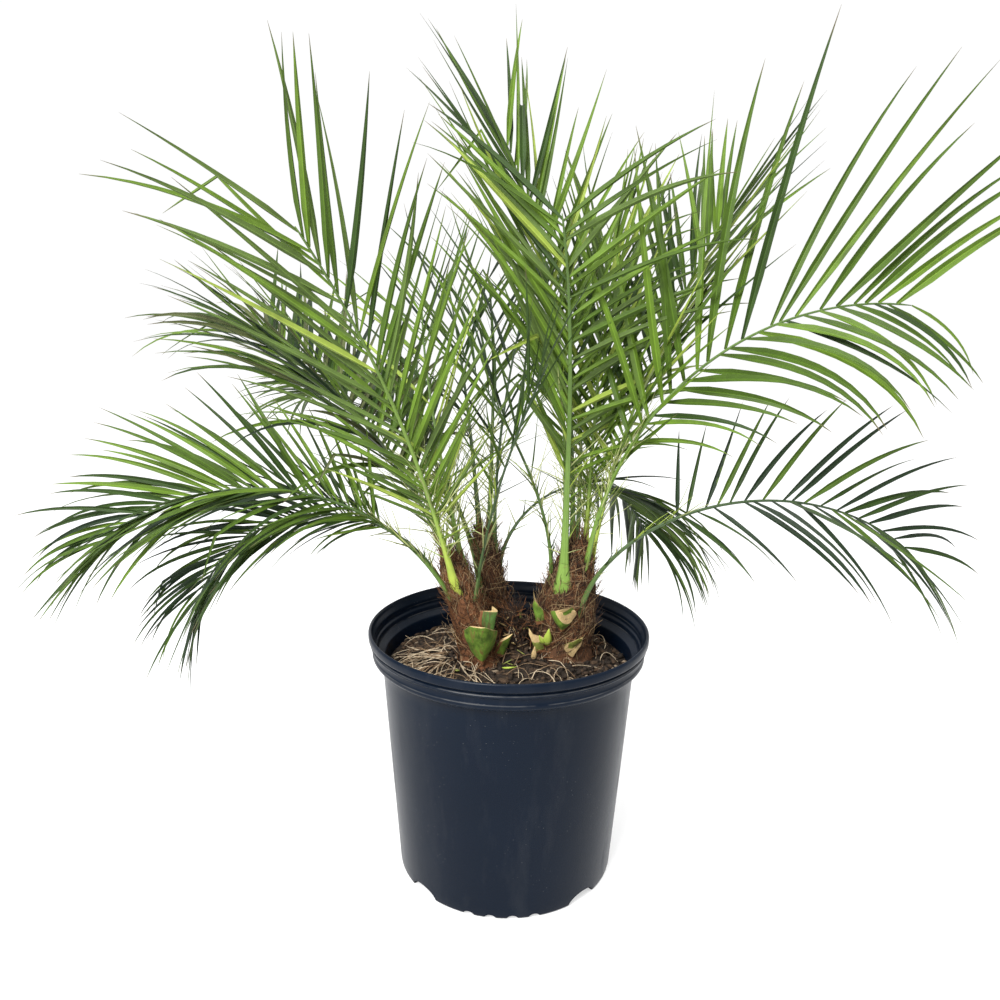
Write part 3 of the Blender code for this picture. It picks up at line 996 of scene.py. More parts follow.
def wander(
    rng: random.Random, spot: Vector, heading: Vector, length: float, steps: int, spread: float
) -> list[Vector]:
    """Walk along a strand that strays a little at each step.

    Args:
        rng: Source of its turns.
        spot: Where it starts.
        heading: Its first direction.
        length: Its length.
        steps: Number of its steps.
        spread: How much it strays.

    Returns:
        The points of its middle line.
    """
    path = [spot.copy()]
    for _ in range(steps):
        spot = spot + heading * length / steps
        heading = (heading + shake(rng, spread)).normalized()
        path.append(spot.copy())
    return path


def register(piece: bpy.types.Object, slot: str, *nodes: str) -> None:
    """Tie a piece to the body and hide the solids that it stands for.

    Args:
        piece: The finished piece.
        slot: Name of its material slot in the record. Not used.
        *nodes: The solids it replaces.
    """
    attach(piece, BODY)
    if nodes:
        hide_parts(*nodes)
    faces = len(piece.data.polygons)
    LOG.info("%s: %d faces, for %s", piece.name, faces, ", ".join(nodes) or "no solid of its own")


# Pot


@dataclass
class NurseryPot:
    """Round tapered nursery pot with a rolled lip, a ridged band and a notched foot."""

    steps: int = 160
    drain_notches: int = 4
    drain_turn: float = 43.0
    drain_width: float = 0.036
    drain_height: float = 0.0105
    drain_depth: float = 0.014
    foot_notches: int = 4
    foot_pitch: float = 11.0
    foot_width: float = 0.0115
    foot_height: float = 0.0046
    foot_depth: float = 0.011
    rounding: float = 0.0011
    cutter_proud: float = 0.012
    sharp_angle: float = 38.0

    def outline(self) -> list[tuple[float, float]]:
        """Return the section of the wall, from the inside floor over the lip to the underside.

        Returns:
            Radius and height of each corner.
        """
        inside = [
            (0.004, FLOOR),
            (STEP_RADIUS - 0.004, FLOOR),
            (STEP_RADIUS, STEP_HEIGHT),
            (inner_radius(STEP_HEIGHT), STEP_HEIGHT),
            (inner_radius(BAND_FOOT - 0.012), BAND_FOOT - 0.012),
            (inner_radius(BAND_FOOT - 0.001), BAND_FOOT - 0.001),
            (BAND_RADIUS - WALL - 0.0012, BAND_FOOT + 0.0030),
            (BAND_RADIUS - WALL - 0.0010, BAND_FOOT + 0.0085),
            (BAND_RADIUS - WALL + 0.0010, BAND_FOOT + 0.0100),
            (BAND_RADIUS - WALL + 0.0010, POT_HEIGHT - 0.0092),
            (RIM_RADIUS - WALL - 0.0012, POT_HEIGHT - 0.0048),
            (RIM_RADIUS - WALL - 0.0002, POT_HEIGHT - 0.0010),
        ]
        lip = [
            (RIM_RADIUS - 0.0018, POT_HEIGHT),
            (RIM_RADIUS - 0.0002, POT_HEIGHT - 0.0016),
            (RIM_RADIUS, POT_HEIGHT - 0.0050),
            (RIM_RADIUS - 0.0004, POT_HEIGHT - 0.0086),
            (BAND_RADIUS + 0.0012, POT_HEIGHT - 0.0098),
            (BAND_RADIUS + 0.0004, POT_HEIGHT - 0.0112),
            (BAND_RADIUS + 0.0030, POT_HEIGHT - 0.0128),
            (BAND_RADIUS + 0.0028, POT_HEIGHT - 0.0146),
            (BAND_RADIUS + 0.0004, POT_HEIGHT - 0.0160),
            (BAND_RADIUS + 0.0002, BAND_FOOT + 0.0052),
            (BAND_RADIUS + 0.0012, BAND_FOOT + 0.0036),
            (BAND_RADIUS + 0.0011, BAND_FOOT + 0.0006),
            (BAND_RADIUS - 0.0026, BAND_FOOT - 0.0030),
        ]
        wall = [
            (WALL_TOP_RADIUS + 0.0002, BAND_FOOT - 0.0046),
            (blend_between(0.94, WALL_FOOT_RADIUS, WALL_TOP_RADIUS), 0.2100),
            (blend_between(0.50, WALL_FOOT_RADIUS, WALL_TOP_RADIUS), 0.1120),
            (WALL_FOOT_RADIUS + 0.0009, 0.0140),
            (WALL_FOOT_RADIUS + 0.0001, 0.0022),
            (WALL_FOOT_RADIUS - 0.0018, 0.0),
            (0.004, 0.0),
        ]
        return rounded(inside + lip + wall, self.rounding)

    def cutter(self, turn: float, width: float, height: float, depth: float) -> bpy.types.Object:
        """Shape the rounded cutter of one notch in the foot.

        Args:
            turn: Its place round the foot, in degrees.
            width: Width of the notch.
            height: Height of the notch.
            depth: How far in it goes.

        Returns:
            The cutter.
        """
        deselect()
        angle = math.radians(turn)
        length = depth + self.cutter_proud
        middle = WALL_FOOT_RADIUS - depth + length / 2.0
        bpy.ops.mesh.primitive_cylinder_add(
            vertices=28,
            radius=0.5,
            depth=length,
            location=(middle * math.cos(angle), middle * math.sin(angle), 0.0),
            rotation=(0.0, math.pi / 2.0, angle),
        )
        piece = bpy.context.object
        piece.scale = (height * 2.0, width, 1.0)
        return settle(piece, f"notch_{turn:.0f}_{width:.3f}")

    def build(self) -> bpy.types.Object:
        """Build the pot and cut its notches.

        Returns:
            The finished pot.
        """
        pot = turned("nursery_pot_moulded", self.outline(), self.steps)
        spread = 360.0 / self.drain_notches
        cutters = bpy.data.collections.new("notch_cutters")
        bpy.context.scene.collection.children.link(cutters)
        for number in range(self.drain_notches):
            turn = self.drain_turn + number * spread
            made = [self.cutter(turn, self.drain_width, self.drain_height, self.drain_depth)]
            for small in range(self.foot_notches):
                offset = (small - (self.foot_notches - 1) / 2.0) * self.foot_pitch
                place = turn + spread / 2.0 + offset
                made.append(self.cutter(place, self.foot_width, self.foot_height, self.foot_depth))
            for piece in made:
                bpy.context.scene.collection.objects.unlink(piece)
                cutters.objects.link(piece)
        settings = {"operation": "DIFFERENCE", "operand_type": "COLLECTION", "solver": "EXACT"}
        apply_modifier(pot, "BOOLEAN", collection=cutters, **settings)
        for piece in list(cutters.objects):
            bpy.data.objects.remove(piece)
        bpy.data.collections.remove(cutters)
        smooth_by_angle(pot, self.sharp_angle)
        return pot

    def dress(self, pot: bpy.types.Object, paints: Paints) -> None:
        """Give the pot its plastic and let it stand for its solid."""
        paint(pot, paints.of(Tone.PLASTIC))
        register(pot, "pot_plastic", "nursery_pot")


# Potting mix


@dataclass
class PottingMix:
    """Low lumpy mound of damp mix, with crumbs, bark chips, dry roots and a fibrous lump on it."""

    rings: int = 34
    steps: int = 120
    hole: float = 0.003
    clod: float = 0.011
    clod_rise: float = 0.013
    crumbs: int = 3600
    chips: int = 260
    roots: int = 250
    crowded_roots: float = 0.36
    crowd: tuple[float, float] = (-0.044, -0.026)
    root_steps: int = 9
    tufts: int = 430
    tuft_steps: int = 5
    scraps: int = 26
    scrap_shape: tuple[float, ...] = (0.7, 1.0, 1.1, 0.9, 0.3)
    seed: int = 41
    humps: tuple[tuple[float, float, float, float], ...] = (
        (0.004, 0.003, 0.012, 0.036),
        (0.012, -0.016, 0.014, 0.010),
        (-0.066, -0.030, 0.018, 0.007),
        (0.060, -0.050, 0.018, 0.004),
        (0.000, 0.060, 0.022, 0.005),
    )

    def height_at(self, x: float, y: float) -> float:
        """Return the height of the mound's smooth top at a place.

        Args:
            x: The place, to the right.
            y: The place, to the back.

        Returns:
            The height in metres.
        """
        reach = math.hypot(x, y)
        edge = inner_radius(SOIL_EDGE) - 0.0005
        flat = SOIL_FLAT_RADIUS * 0.55
        share = clamp((reach - flat) / (edge - flat), 0.0, 1.0)
        top = SOIL_TOP + 0.0005 - (SOIL_TOP - SOIL_EDGE) * share**1.5
        for at_x, at_y, spread, rise in self.humps:
            top += rise * math.exp(-((x - at_x) ** 2 + (y - at_y) ** 2) / (2.0 * spread**2))
        return top

    def mound(self) -> bpy.types.Object:
        """Build the mound, a turned form with clods pushed up on it.

        Returns:
            The finished mound.
        """
        edge = inner_radius(SOIL_EDGE) - 0.0006
        outline = [(self.hole, SOIL_TOP)]
        for ring in range(1, self.rings + 1):
            outline.append((blend_between(ring / self.rings, self.hole, edge), SOIL_TOP))
        outline += [(edge - 0.0012, SOIL_EDGE - 0.010), (self.hole, SOIL_EDGE - 0.012)]
        mound = turned("potting_mix_mound", outline, self.steps)
        deselect()
        group = mound.vertex_groups.new(name="top")
        for vert in mound.data.vertices:
            if vert.co.z > SOIL_EDGE:
                reach = math.hypot(vert.co.x, vert.co.y)
                vert.co.z = self.height_at(vert.co.x, vert.co.y)
                if reach < edge - 0.002:
                    group.add([vert.index], 1.0, "REPLACE")
        clods = bpy.data.textures.new("clods", "CLOUDS")
        clods.noise_depth = 3
        emboss(mound, clods, self.clod, self.clod_rise, direction="Z", mid_level=0.52, vertex_group="top")
        smooth_by_angle(mound, 60.0)
        return mound

    def anywhere(self, rng: random.Random) -> tuple[float, float]:
        """Return a random place on the mix.

        Args:
            rng: Source of the random draws.

        Returns:
            The place, to the right and to the back.
        """
        edge = inner_radius(SOIL_EDGE) - 0.004
        reach, side = edge * math.sqrt(rng.random()), rng.uniform(0.0, math.tau)
        return reach * math.cos(side), reach * math.sin(side)

    def add_crumbs(self, bundle: Bundle, rng: random.Random) -> None:
        """Scatter the crumbs, and after them the bark chips.

        Args:
            bundle: Where they go.
            rng: Source of the random draws.
        """
        deselect()
        bpy.ops.mesh.primitive_ico_sphere_add(subdivisions=1, radius=1.0)
        model = bpy.context.object
        ball = np.array([vert.co for vert in model.data.vertices])
        faces = [tuple(face.vertices) for face in model.data.polygons]
        bpy.data.objects.remove(model)
        for number in range(self.crumbs + self.chips):
            x, y = self.anywhere(rng)
            chip = number >= self.crumbs
            if chip:
                size = rng.uniform(0.0022, 0.0046)
                shape = Vector((rng.uniform(1.2, 2.4), rng.uniform(0.5, 0.9), 0.35))
            else:
                size = rng.uniform(0.0009, 0.0021) + 0.0022 * rng.random() ** 4
                shape = Vector((1.0, 0.8, 0.7))
            spin = Matrix.Rotation(rng.uniform(0.0, math.tau), 3, "Z")
            turn = spin @ Matrix.Rotation(rng.uniform(-0.6, 0.6), 3, "X")
            jitter = np.array([[rng.uniform(0.75, 1.25)] for _ in ball])
            points = (ball * jitter * size * np.array(shape)) @ np.array(turn).T
            points += np.array((x, y, self.height_at(x, y) + size * rng.uniform(0.0, 0.8)))
            pick = rng.random()
            if chip:
                tone = Tone.BARK if pick < 0.86 else Tone.DUST
            else:
                tone = Tone.PEAT if pick < 0.66 else Tone.BARK if pick < 0.94 else Tone.DUST
            bundle.add(points, np.zeros((len(points), 2)), faces, [bundle.slot(tone)] * len(faces))

    def root_start(self, rng: random.Random, crowded: bool) -> tuple[float, float, float, float]:
        """Return a root's length, the place where it starts and its first course.

        Args:
            rng: Source of the random draws.
            crowded: Whether it is one of those that fan out by the left stem.

        Returns:
            The length, the place to the right and to the back, and the course in radians.
        """
        if not crowded:
            length = rng.uniform(0.010, 0.042)
            x, y = self.anywhere(rng)
            return length, x, y, rng.uniform(0.0, math.tau)
        length = rng.uniform(0.026, 0.062)
        fan = math.radians(rng.gauss(205.0, 38.0))
        start = rng.uniform(0.012, 0.056)
        x, y = self.crowd[0] + math.cos(fan) * start, self.crowd[1] + math.sin(fan) * start
        return length, x, y, fan + rng.gauss(0.0, 0.5)

    def add_roots(self, bundle: Bundle, rng: random.Random) -> None:
        """Lay the dry roots, of which many fan out in front of the left stem.

        Args:
            bundle: Where they go.
            rng: Source of the random draws.
        """
        edge = inner_radius(SOIL_EDGE) - 0.004
        for number in range(self.roots):
            crowded = number < self.roots * self.crowded_roots
            length, x, y, course = self.root_start(rng, crowded)
            hump = rng.uniform(0.001, 0.008)
            curl = rng.uniform(-1.6, 1.6)
            path = []
            for step in range(self.root_steps + 1):
                share = step / self.root_steps
                if math.hypot(x, y) > edge:
                    break
                rise = hump * math.sin(share * math.pi)
                path.append(Vector((x, y, self.height_at(x, y) + 0.0022 + rise)))
                x += math.cos(course) * length / self.root_steps
                y += math.sin(course) * length / self.root_steps
                course += curl / self.root_steps + rng.uniform(-0.3, 0.3)
            if len(path) > 3:
                tone = Tone.ROOT if rng.random() < (0.62 if crowded else 0.45) else Tone.ROOT_BROWN
                bundle.add_strand(path, rng.uniform(0.00030, 0.00064), 0.00018, tone, 5)

    def add_tufts(self, bundle: Bundle, rng: random.Random) -> None:
        """Pile up the fibrous lump between the stems.

        Args:
            bundle: Where they go.
            rng: Source of the random draws.
        """
        tones = (Tone.STRAND_DARK, Tone.STRAND_DARK, Tone.PEAT, Tone.PEAT, Tone.STRAND_RUST)
        for _ in range(self.tufts):
            x, y = rng.gauss(0.006, 0.013), rng.gauss(-0.003, 0.011)
            spot = Vector((x, y, self.height_at(x, y) - 0.002))
            heading = Vector((rng.gauss(0.0, 0.7), rng.gauss(-0.1, 0.7), 1.0)).normalized()
            path = wander(rng, spot, heading, rng.uniform(0.008, 0.032), self.tuft_steps, 0.3)
            tone = rng.choice(tones)
            bundle.add_strand(path, rng.uniform(0.0003, 0.0009), 0.0002, tone, 4)

    def add_scraps(self, bundle: Bundle, rng: random.Random) -> None:
        """Drop a few torn scraps of old leaf bases between the stems.

        Args:
            bundle: Where they go.
            rng: Source of the random draws.
        """
        tones = (Tone.CUT_FACE, Tone.STRAND_DARK, Tone.STRAND_RUST, Tone.CUT_OLIVE, Tone.STRAND_STRAW)
        for _ in range(self.scraps):
            x, y = rng.gauss(0.006, 0.014), rng.gauss(-0.018, 0.014)
            spot = Vector((x, y, self.height_at(x, y) + 0.002))
            heading = Vector((rng.gauss(0.0, 1.0), rng.gauss(0.0, 1.0), rng.uniform(0.1, 1.4))).normalized()
            path = [spot + heading * (step * rng.uniform(0.0018, 0.0032)) for step in range(5)]
            wide = [size * rng.uniform(0.0010, 0.0020) for size in self.scrap_shape]
            bundle.add_tube(path, wide, [width * 0.35 for width in wide], 6, rng.choice(tones))

    def build(self, paints: Paints) -> None:
        """Build the mound and what lies on it.

        Args:
            paints: Where the materials come from.
        """
        mound = self.mound()
        paint(mound, paints.of(Tone.PEAT))
        register(mound, "potting_mix", "potting_mix")
        rng = random.Random(self.seed)
        crumbs, roots = Bundle(), Bundle()
        self.add_crumbs(crumbs, rng)
        self.add_roots(roots, rng)
        self.add_tufts(roots, rng)
        self.add_scraps(crumbs, rng)
        register(crumbs.piece("potting_mix_crumbs", paints), "potting_mix")
        register(roots.piece("potting_mix_roots", paints), "potting_mix")


# Stems


@dataclass(frozen=True)
class Stem:
    """A short stem wrapped in the fibre of its old leaf sheaths."""

    name: str
    foot: tuple[float, float]
    top: Spot
    flare: float
    waist: float
    neck: float
    tip: float
    sheath: Tone
    strands: tuple[Tone, ...]
    strand_count: int = 900
    frayed_share: float = 0.20
    crown_strands: int = 110
    rings: int = 46
    sides: int = 72

    def place(self, height: float) -> tuple[Vector, float]:
        """Return the stem's middle and radius at a height.

        Args:
            height: The height in metres.

        Returns:
            The middle, and the radius there.
        """
        foot_z = SOIL_TOP + GAP
        share = clamp((height - foot_z) / (self.top[2] - foot_z), 0.0, 1.0)
        lean = share**1.25
        centre = Vector(
            (
                blend_between(lean, self.foot[0], self.top[0]),
                blend_between(lean, self.foot[1], self.top[1]),
                blend_between(share, foot_z, self.top[2]),
            )
        )
        marks = (
            (0.0, self.flare),
            (0.10, self.waist * 1.04),
            (0.35, self.waist),
            (0.62, self.waist * 0.55 + self.neck * 0.45),
            (0.84, self.neck),
            (1.0, self.tip),
        )
        for (low, first), (high, second) in zip(marks, marks[1:]):
            if share <= high:
                return centre, blend_between((share - low) / (high - low), first, second)
        return centre, self.tip

    def surface(self, height: float, around: float, out: float = 0.0) -> Vector:
        """Return a point on the stem's skin, at a height and an angle in radians."""
        centre, radius = self.place(height)
        return centre + outward(around) * (radius + out)

    def build(self) -> bpy.types.Object:
        """Build the stem by extruding a circle up its axis, with the relief of its sheaths.

        Returns:
            The finished stem.
        """
        deselect()
        low, high = SOIL_TOP - 0.004, self.top[2]
        centre, size = self.place(low)
        foot = (centre.x, centre.y, low)
        bpy.ops.mesh.primitive_circle_add(vertices=self.sides, radius=size, fill_type="NGON", location=foot)
        piece = bpy.context.object
        bpy.ops.object.transform_apply(location=True, rotation=True, scale=True)
        edit_all()
        spot = Vector(foot)
        for ring in range(1, self.rings + 1):
            height = blend_between(ring / self.rings, low, high)
            centre, radius = self.place(height)
            goal = Vector((centre.x, centre.y, height))
            raise_ring(tuple(goal - spot), tuple(goal), radius / size)
            spot, size = goal, radius
        close_edit()
        settle(piece, self.name + "_fibre")
        for name, kind, grain, strength in (
            ("sheath_lumps", "CLOUDS", 0.016, 0.0050),
            ("fibre_ridges", "STUCCI", 0.0045, 0.0016),
        ):
            emboss(piece, bpy.data.textures.new(self.name + "_" + name, kind), grain, strength)
        smooth_by_angle(piece, 70.0)
        return piece

    def strand_bundle(self) -> Bundle:
        """Lay fibre strands criss-cross on the stem, with frayed ones that stand off it.

        Returns:
            The strands.
        """
        rng = random.Random(self.name + "_strands")
        bundle = Bundle()
        low, high = SOIL_TOP - 0.001, self.top[2]
        for _ in range(self.strand_count):
            height = blend_between(rng.random() ** 0.9, low, high - 0.006)
            around = rng.uniform(0.0, math.tau)
            frayed = rng.random() < self.frayed_share
            length = rng.uniform(0.010, 0.030) if frayed else rng.uniform(0.012, 0.040)
            lean = rng.gauss(0.0, 0.85)
            path, steps = [], 5
            out = rng.uniform(0.0004, 0.0022)
            for _ in range(steps + 1):
                _, radius = self.place(height)
                path.append(self.surface(height, around, out))
                height = clamp(height + math.cos(lean) * length / steps, low, high + 0.008)
                around += math.sin(lean) * length / steps / max(radius, 0.006)
                lean += rng.uniform(-0.35, 0.35)
                out += rng.uniform(0.0008, 0.0030) if frayed else rng.uniform(-0.0004, 0.0004)
                out = max(out, 0.0002)
            bundle.add_strand(path, rng.uniform(0.00022, 0.00048), STRAND_TIP, rng.choice(self.strands))
        for _ in range(self.crown_strands):
            height, around = rng.uniform(high - 0.016, high), rng.uniform(0.0, math.tau)
            spot = self.surface(height, around, rng.uniform(-0.003, 0.001))
            lean_x, lean_y = rng.gauss(0.0, 0.4), rng.gauss(0.0, 0.4)
            heading = Vector((math.cos(around) * lean_x, math.sin(around) * lean_y, 1.0))
            length, path = rng.uniform(0.008, 0.028), [spot]
            for _ in range(4):
                spot = spot + heading.normalized() * length / 4
                heading += Vector((rng.gauss(0.0, 0.2), rng.gauss(0.0, 0.2), 0.0))
                path.append(spot)
            bundle.add_strand(path, rng.uniform(0.0003, 0.0007), STRAND_TIP, rng.choice(self.strands))
        return bundle

    def dress(self, piece: bpy.types.Object, paints: Paints) -> None:
        """Give the stem its fibre finish and its strands.

        Args:
            piece: The stem.
            paints: Where the materials come from.
        """
        paint(piece, paints.of(self.sheath))
        register(piece, "stem_fibre", self.name)
        register(self.strand_bundle().piece(self.name + "_strands", paints), "stem_fibre")


STEMS = {
    stem.name: stem
    for stem in (
        Stem(
            "left_stem", (-0.028, -0.028), (-0.059, -0.020, 0.334), 0.021, 0.0165, 0.0125, 0.0065,
            Tone.SHEATH_RUST, (Tone.STRAND_RUST, Tone.STRAND_RUST, Tone.STRAND_STRAW, Tone.STRAND_DARK),
        ),
        Stem(
            "rear_stem", (-0.011, 0.024), (-0.028, 0.034, 0.342), 0.0175, 0.0140, 0.0110, 0.0062,
            Tone.SHEATH_BROWN, (Tone.STRAND_RUST, Tone.STRAND_DARK, Tone.STRAND_STRAW, Tone.STRAND_DARK),
        ),
        Stem(
            "right_stem", (0.052, 0.000), (0.068, 0.010, 0.338), 0.034, 0.0290, 0.0165, 0.0070,
            Tone.SHEATH_BROWN, (Tone.STRAND_DARK, Tone.STRAND_RUST, Tone.STRAND_DARK, Tone.STRAND_STRAW),
            1500,
        ),
    )
}


# Cut leaf bases


@dataclass(frozen=True)
class CutLeafBase:
    """Stub of an old leaf: a keeled green shield with slanted pale cuts and dry edges."""

    name: str
    stem: str
    height: float
    around: float
    lean: float
    length: float
    width: float
    thickness: float
    skin: Tone
    cuts: tuple[Spot, ...] = ((0.0, 0.3, 0.42),)
    slot: str = "cut_base_green"
    foot_width: float = 0.50
    dry_edge: float = 0.43
    facets: int = 28
    slices: int = 11
    edge_bevel: float = 0.0004
    dent_size: float = 0.007
    dent_depth: float = 0.0022

    def blank(self) -> bpy.types.Object:
        """Make the stub's plain block: a cylinder, sliced into rings and cut through at its top.

        Returns:
            The block, with its faces dealt to skin, cut and dry edge.
        """
        deselect()
        bpy.ops.mesh.primitive_cylinder_add(vertices=self.facets, radius=0.5, depth=1.0)
        piece = bpy.context.object
        edit_all()
        bpy.ops.transform.resize(value=(1.0, 1.0, 1.25))
        for number in range(self.slices):
            bpy.ops.mesh.select_all(action="SELECT")
            bpy.ops.mesh.bisect(plane_co=(0.0, 0.0, -0.5 + number * 0.1), plane_no=(0.0, 0.0, 1.0))
        for side, inward, top in self.cuts:
            bpy.ops.mesh.select_all(action="SELECT")
            bpy.ops.mesh.bisect(
                plane_co=(0.0, 0.0, top), plane_no=(side, inward, 1.0), use_fill=True, clear_outer=True
            )
        bpy.ops.object.mode_set(mode="OBJECT")
        for _ in range(3):
            piece.data.materials.append(None)
        for face in piece.data.polygons:
            steep = face.normal.x**2 + face.normal.y**2
            cut = face.normal.z > 0.2 and face.center.z > -0.3 and steep < 0.99
            dry = abs(face.center.x) > self.dry_edge or face.center.z < -0.42
            face.material_index = 1 if cut else 2 if dry else 0
        return piece

    def build(self) -> bpy.types.Object:
        """Bend the blank to its shield form and set it against its stem.

        Returns:
            The finished stub.
        """
        centre, radius = STEMS[self.stem].place(self.height)
        side, lean = math.radians(self.around), math.radians(self.lean)
        out = outward(side)
        across = Vector((-math.sin(side), math.cos(side), 0.0))
        along = Vector((0.0, 0.0, 1.0)) * math.cos(lean) + out * math.sin(lean)
        turn = Matrix((across, along.cross(across), along)).transposed()
        foot = centre + out * (radius + 0.25 * self.thickness)
        piece = self.blank()
        rng = random.Random(self.name)
        wave, warp = rng.uniform(0.0, math.tau), rng.uniform(-0.10, 0.10)
        for vert in piece.data.vertices:
            x, y, z = vert.co
            rise = clamp(z + 0.5, 0.0, 1.15)
            growth = math.sin(clamp(rise * 1.3, 0.0, 1.0) * math.pi / 2.0)
            swell = blend_between(growth, self.foot_width, 1.02)
            wrap = 0.95 * (2.0 * x) ** 2 - 0.30 * (1.0 - min(1.0, abs(2.0 * x)))
            thin = blend_between(rise, 0.62, 0.50)
            ripple = 0.05 * math.sin(9.0 * x + wave) * rise
            spot = Vector(
                (
                    (x + warp * rise * rise) * swell * self.width,
                    (y * thin + wrap * 0.55 + ripple) * self.thickness * 1.2,
                    rise * self.length,
                )
            )
            vert.co = foot + turn @ spot
            vert.co.z = max(vert.co.z, SOIL_TOP - 0.003)
        settle(piece, self.name + "_trimmed")
        edit_all()
        close_edit()
        limit = math.radians(50.0)
        apply_modifier(
            piece, "BEVEL", width=self.edge_bevel, segments=2, limit_method="ANGLE", angle_limit=limit
        )
        dents = bpy.data.textures.new(self.name + "_dents", "CLOUDS")
        emboss(piece, dents, self.dent_size, self.dent_depth)
        smooth_by_angle(piece, 45.0)
        return piece

    def dress(self, piece: bpy.types.Object, paints: Paints) -> None:
        """Give the stub its skin, its pale cut face and its dry edges.

        Args:
            piece: The stub.
            paints: Where the materials come from.
        """
        for number, tone in enumerate((self.skin, Tone.CUT_FACE, Tone.STRAND_RUST)):
            piece.data.materials[number] = paints.of(tone)
        register(piece, self.slot, self.name)


CUT_BASES = (
    CutLeafBase("cut_base_large", "left_stem", 0.236, 280, 18, 0.038, 0.034, 0.012, Tone.CUT_GREEN,
                ((0.42, 0.55, 0.40), (-1.3, 0.3, 0.80)), foot_width=0.34),
    CutLeafBase("cut_base_small", "left_stem", 0.234, 352, 24, 0.024, 0.018, 0.008, Tone.CUT_GREEN,
                ((0.75, 0.45, 0.36), (-1.4, 0.2, 0.70)), foot_width=0.45),
    CutLeafBase("cut_base_dark", "left_stem", 0.262, 326, 10, 0.022, 0.020, 0.010, Tone.CUT_DARK,
                ((0.05, 0.10, 0.40),), foot_width=0.60),
    CutLeafBase("cut_base_pointed", "right_stem", 0.262, 215, 14, 0.034, 0.015, 0.008, Tone.CUT_GREEN,
                ((1.7, 0.30, 0.34), (-1.9, -0.55, 0.42)), "cut_base_tan", 0.55),
    CutLeafBase("cut_base_front", "right_stem", 0.262, 262, 22, 0.024, 0.027, 0.010, Tone.CUT_GREEN,
                ((1.7, -0.80, 0.40), (-0.8, 0.4, 0.50)), "cut_base_tan", 0.35),
    CutLeafBase("cut_base_low_left", "right_stem", 0.236, 225, 26, 0.022, 0.016, 0.007, Tone.CUT_OLIVE,
                ((0.3, -0.30, 0.30),), foot_width=0.60),
    CutLeafBase("cut_base_low_right", "right_stem", 0.236, 285, 28, 0.018, 0.018, 0.007, Tone.CUT_OLIVE,
                ((-0.55, -1.1, 0.05),), "cut_base_tan", 0.55),
    CutLeafBase("cut_base_rear", "right_stem", 0.262, 60, 18, 0.026, 0.020, 0.010, Tone.CUT_OLIVE,
                ((0.5, 0.2, 0.30),), "cut_base_tan", 0.55),
)


@dataclass(frozen=True)
class GreenBit:
    """Small fresh bit of a leaf: a bud on a stem or a sliver that was cut off and fell on the mix."""

    name: str
    spot: Spot
    heading: Spot
    length: float
    width: float
    flat: float
    tone: Tone
    shape: tuple[float, ...] = (0.35, 0.85, 1.0, 0.95, 0.70, 0.38, 0.06)
    sides: int = 8

    def build(self, paints: Paints) -> bpy.types.Object:
        """Build the bit as a short tapering blade.

        Args:
            paints: Where the materials come from.

        Returns:
            The finished bit.
        """
        bundle = Bundle()
        start, along = Vector(self.spot), Vector(self.heading).normalized()
        bow = Vector((0.0, 0.0, self.length * 0.25))
        path = []
        for number in range(len(self.shape)):
            share = number / (len(self.shape) - 1)
            path.append(start + along * (self.length * share) + bow * share * share)
        wide = [self.width * size for size in self.shape]
        bundle.add_tube(path, wide, [width * self.flat for width in wide], self.sides, self.tone)
        return bundle.piece(self.name, paints)

    def dress(self, piece: bpy.types.Object) -> None:
        """Attach the bit to the body."""
        register(piece, "cut_base_green")


GREEN_BITS = tuple(
    GreenBit(*sizes)
    for sizes in (
        ("green_bud", (0.037, -0.026, 0.243), (0.10, -0.45, 1.0), 0.017, 0.0044, 0.8, Tone.BUD),
        ("green_bud_side", (0.034, -0.028, 0.245), (-0.55, -0.40, 0.9), 0.010, 0.0030, 0.6, Tone.BUD),
        ("green_sliver_front", (-0.006, -0.046, 0.2275), (1.0, -0.35, 0.0), 0.015, 0.0034, 0.35, Tone.BUD),
        ("green_sliver_left", (-0.050, -0.050, 0.2265), (0.3, -0.8, 0.1), 0.010, 0.0026, 0.4, Tone.CUT_OLIVE),
        ("tan_sliver_middle", (0.024, -0.030, 0.229), (0.1, -0.3, 1.0), 0.013, 0.0028, 0.4, Tone.CUT_FACE),
    )
)


# Fronds


@dataclass(frozen=True)
class Greens:
    """Tones of one frond: its rib's, and those of its lowest and highest leaflets with their shares."""

    rib: Tone
    low: tuple[tuple[Tone, float], ...]
    high: tuple[tuple[Tone, float], ...]

    def pick(self, rng: random.Random, place: float) -> Tone:
        """Deal one leaflet's colour, at its place between the lowest leaflet and the highest.

        Args:
            rng: Source of the random draws.
            place: Its place, from zero at the lowest leaflet to one at the highest.

        Returns:
            The leaflet's tone.
        """
        shares = self.high if rng.random() < place else self.low
        draw = rng.random()
        for tone, share in shares:
            draw -= share
            if draw < 0.0:
                return tone
        return shares[0][0]


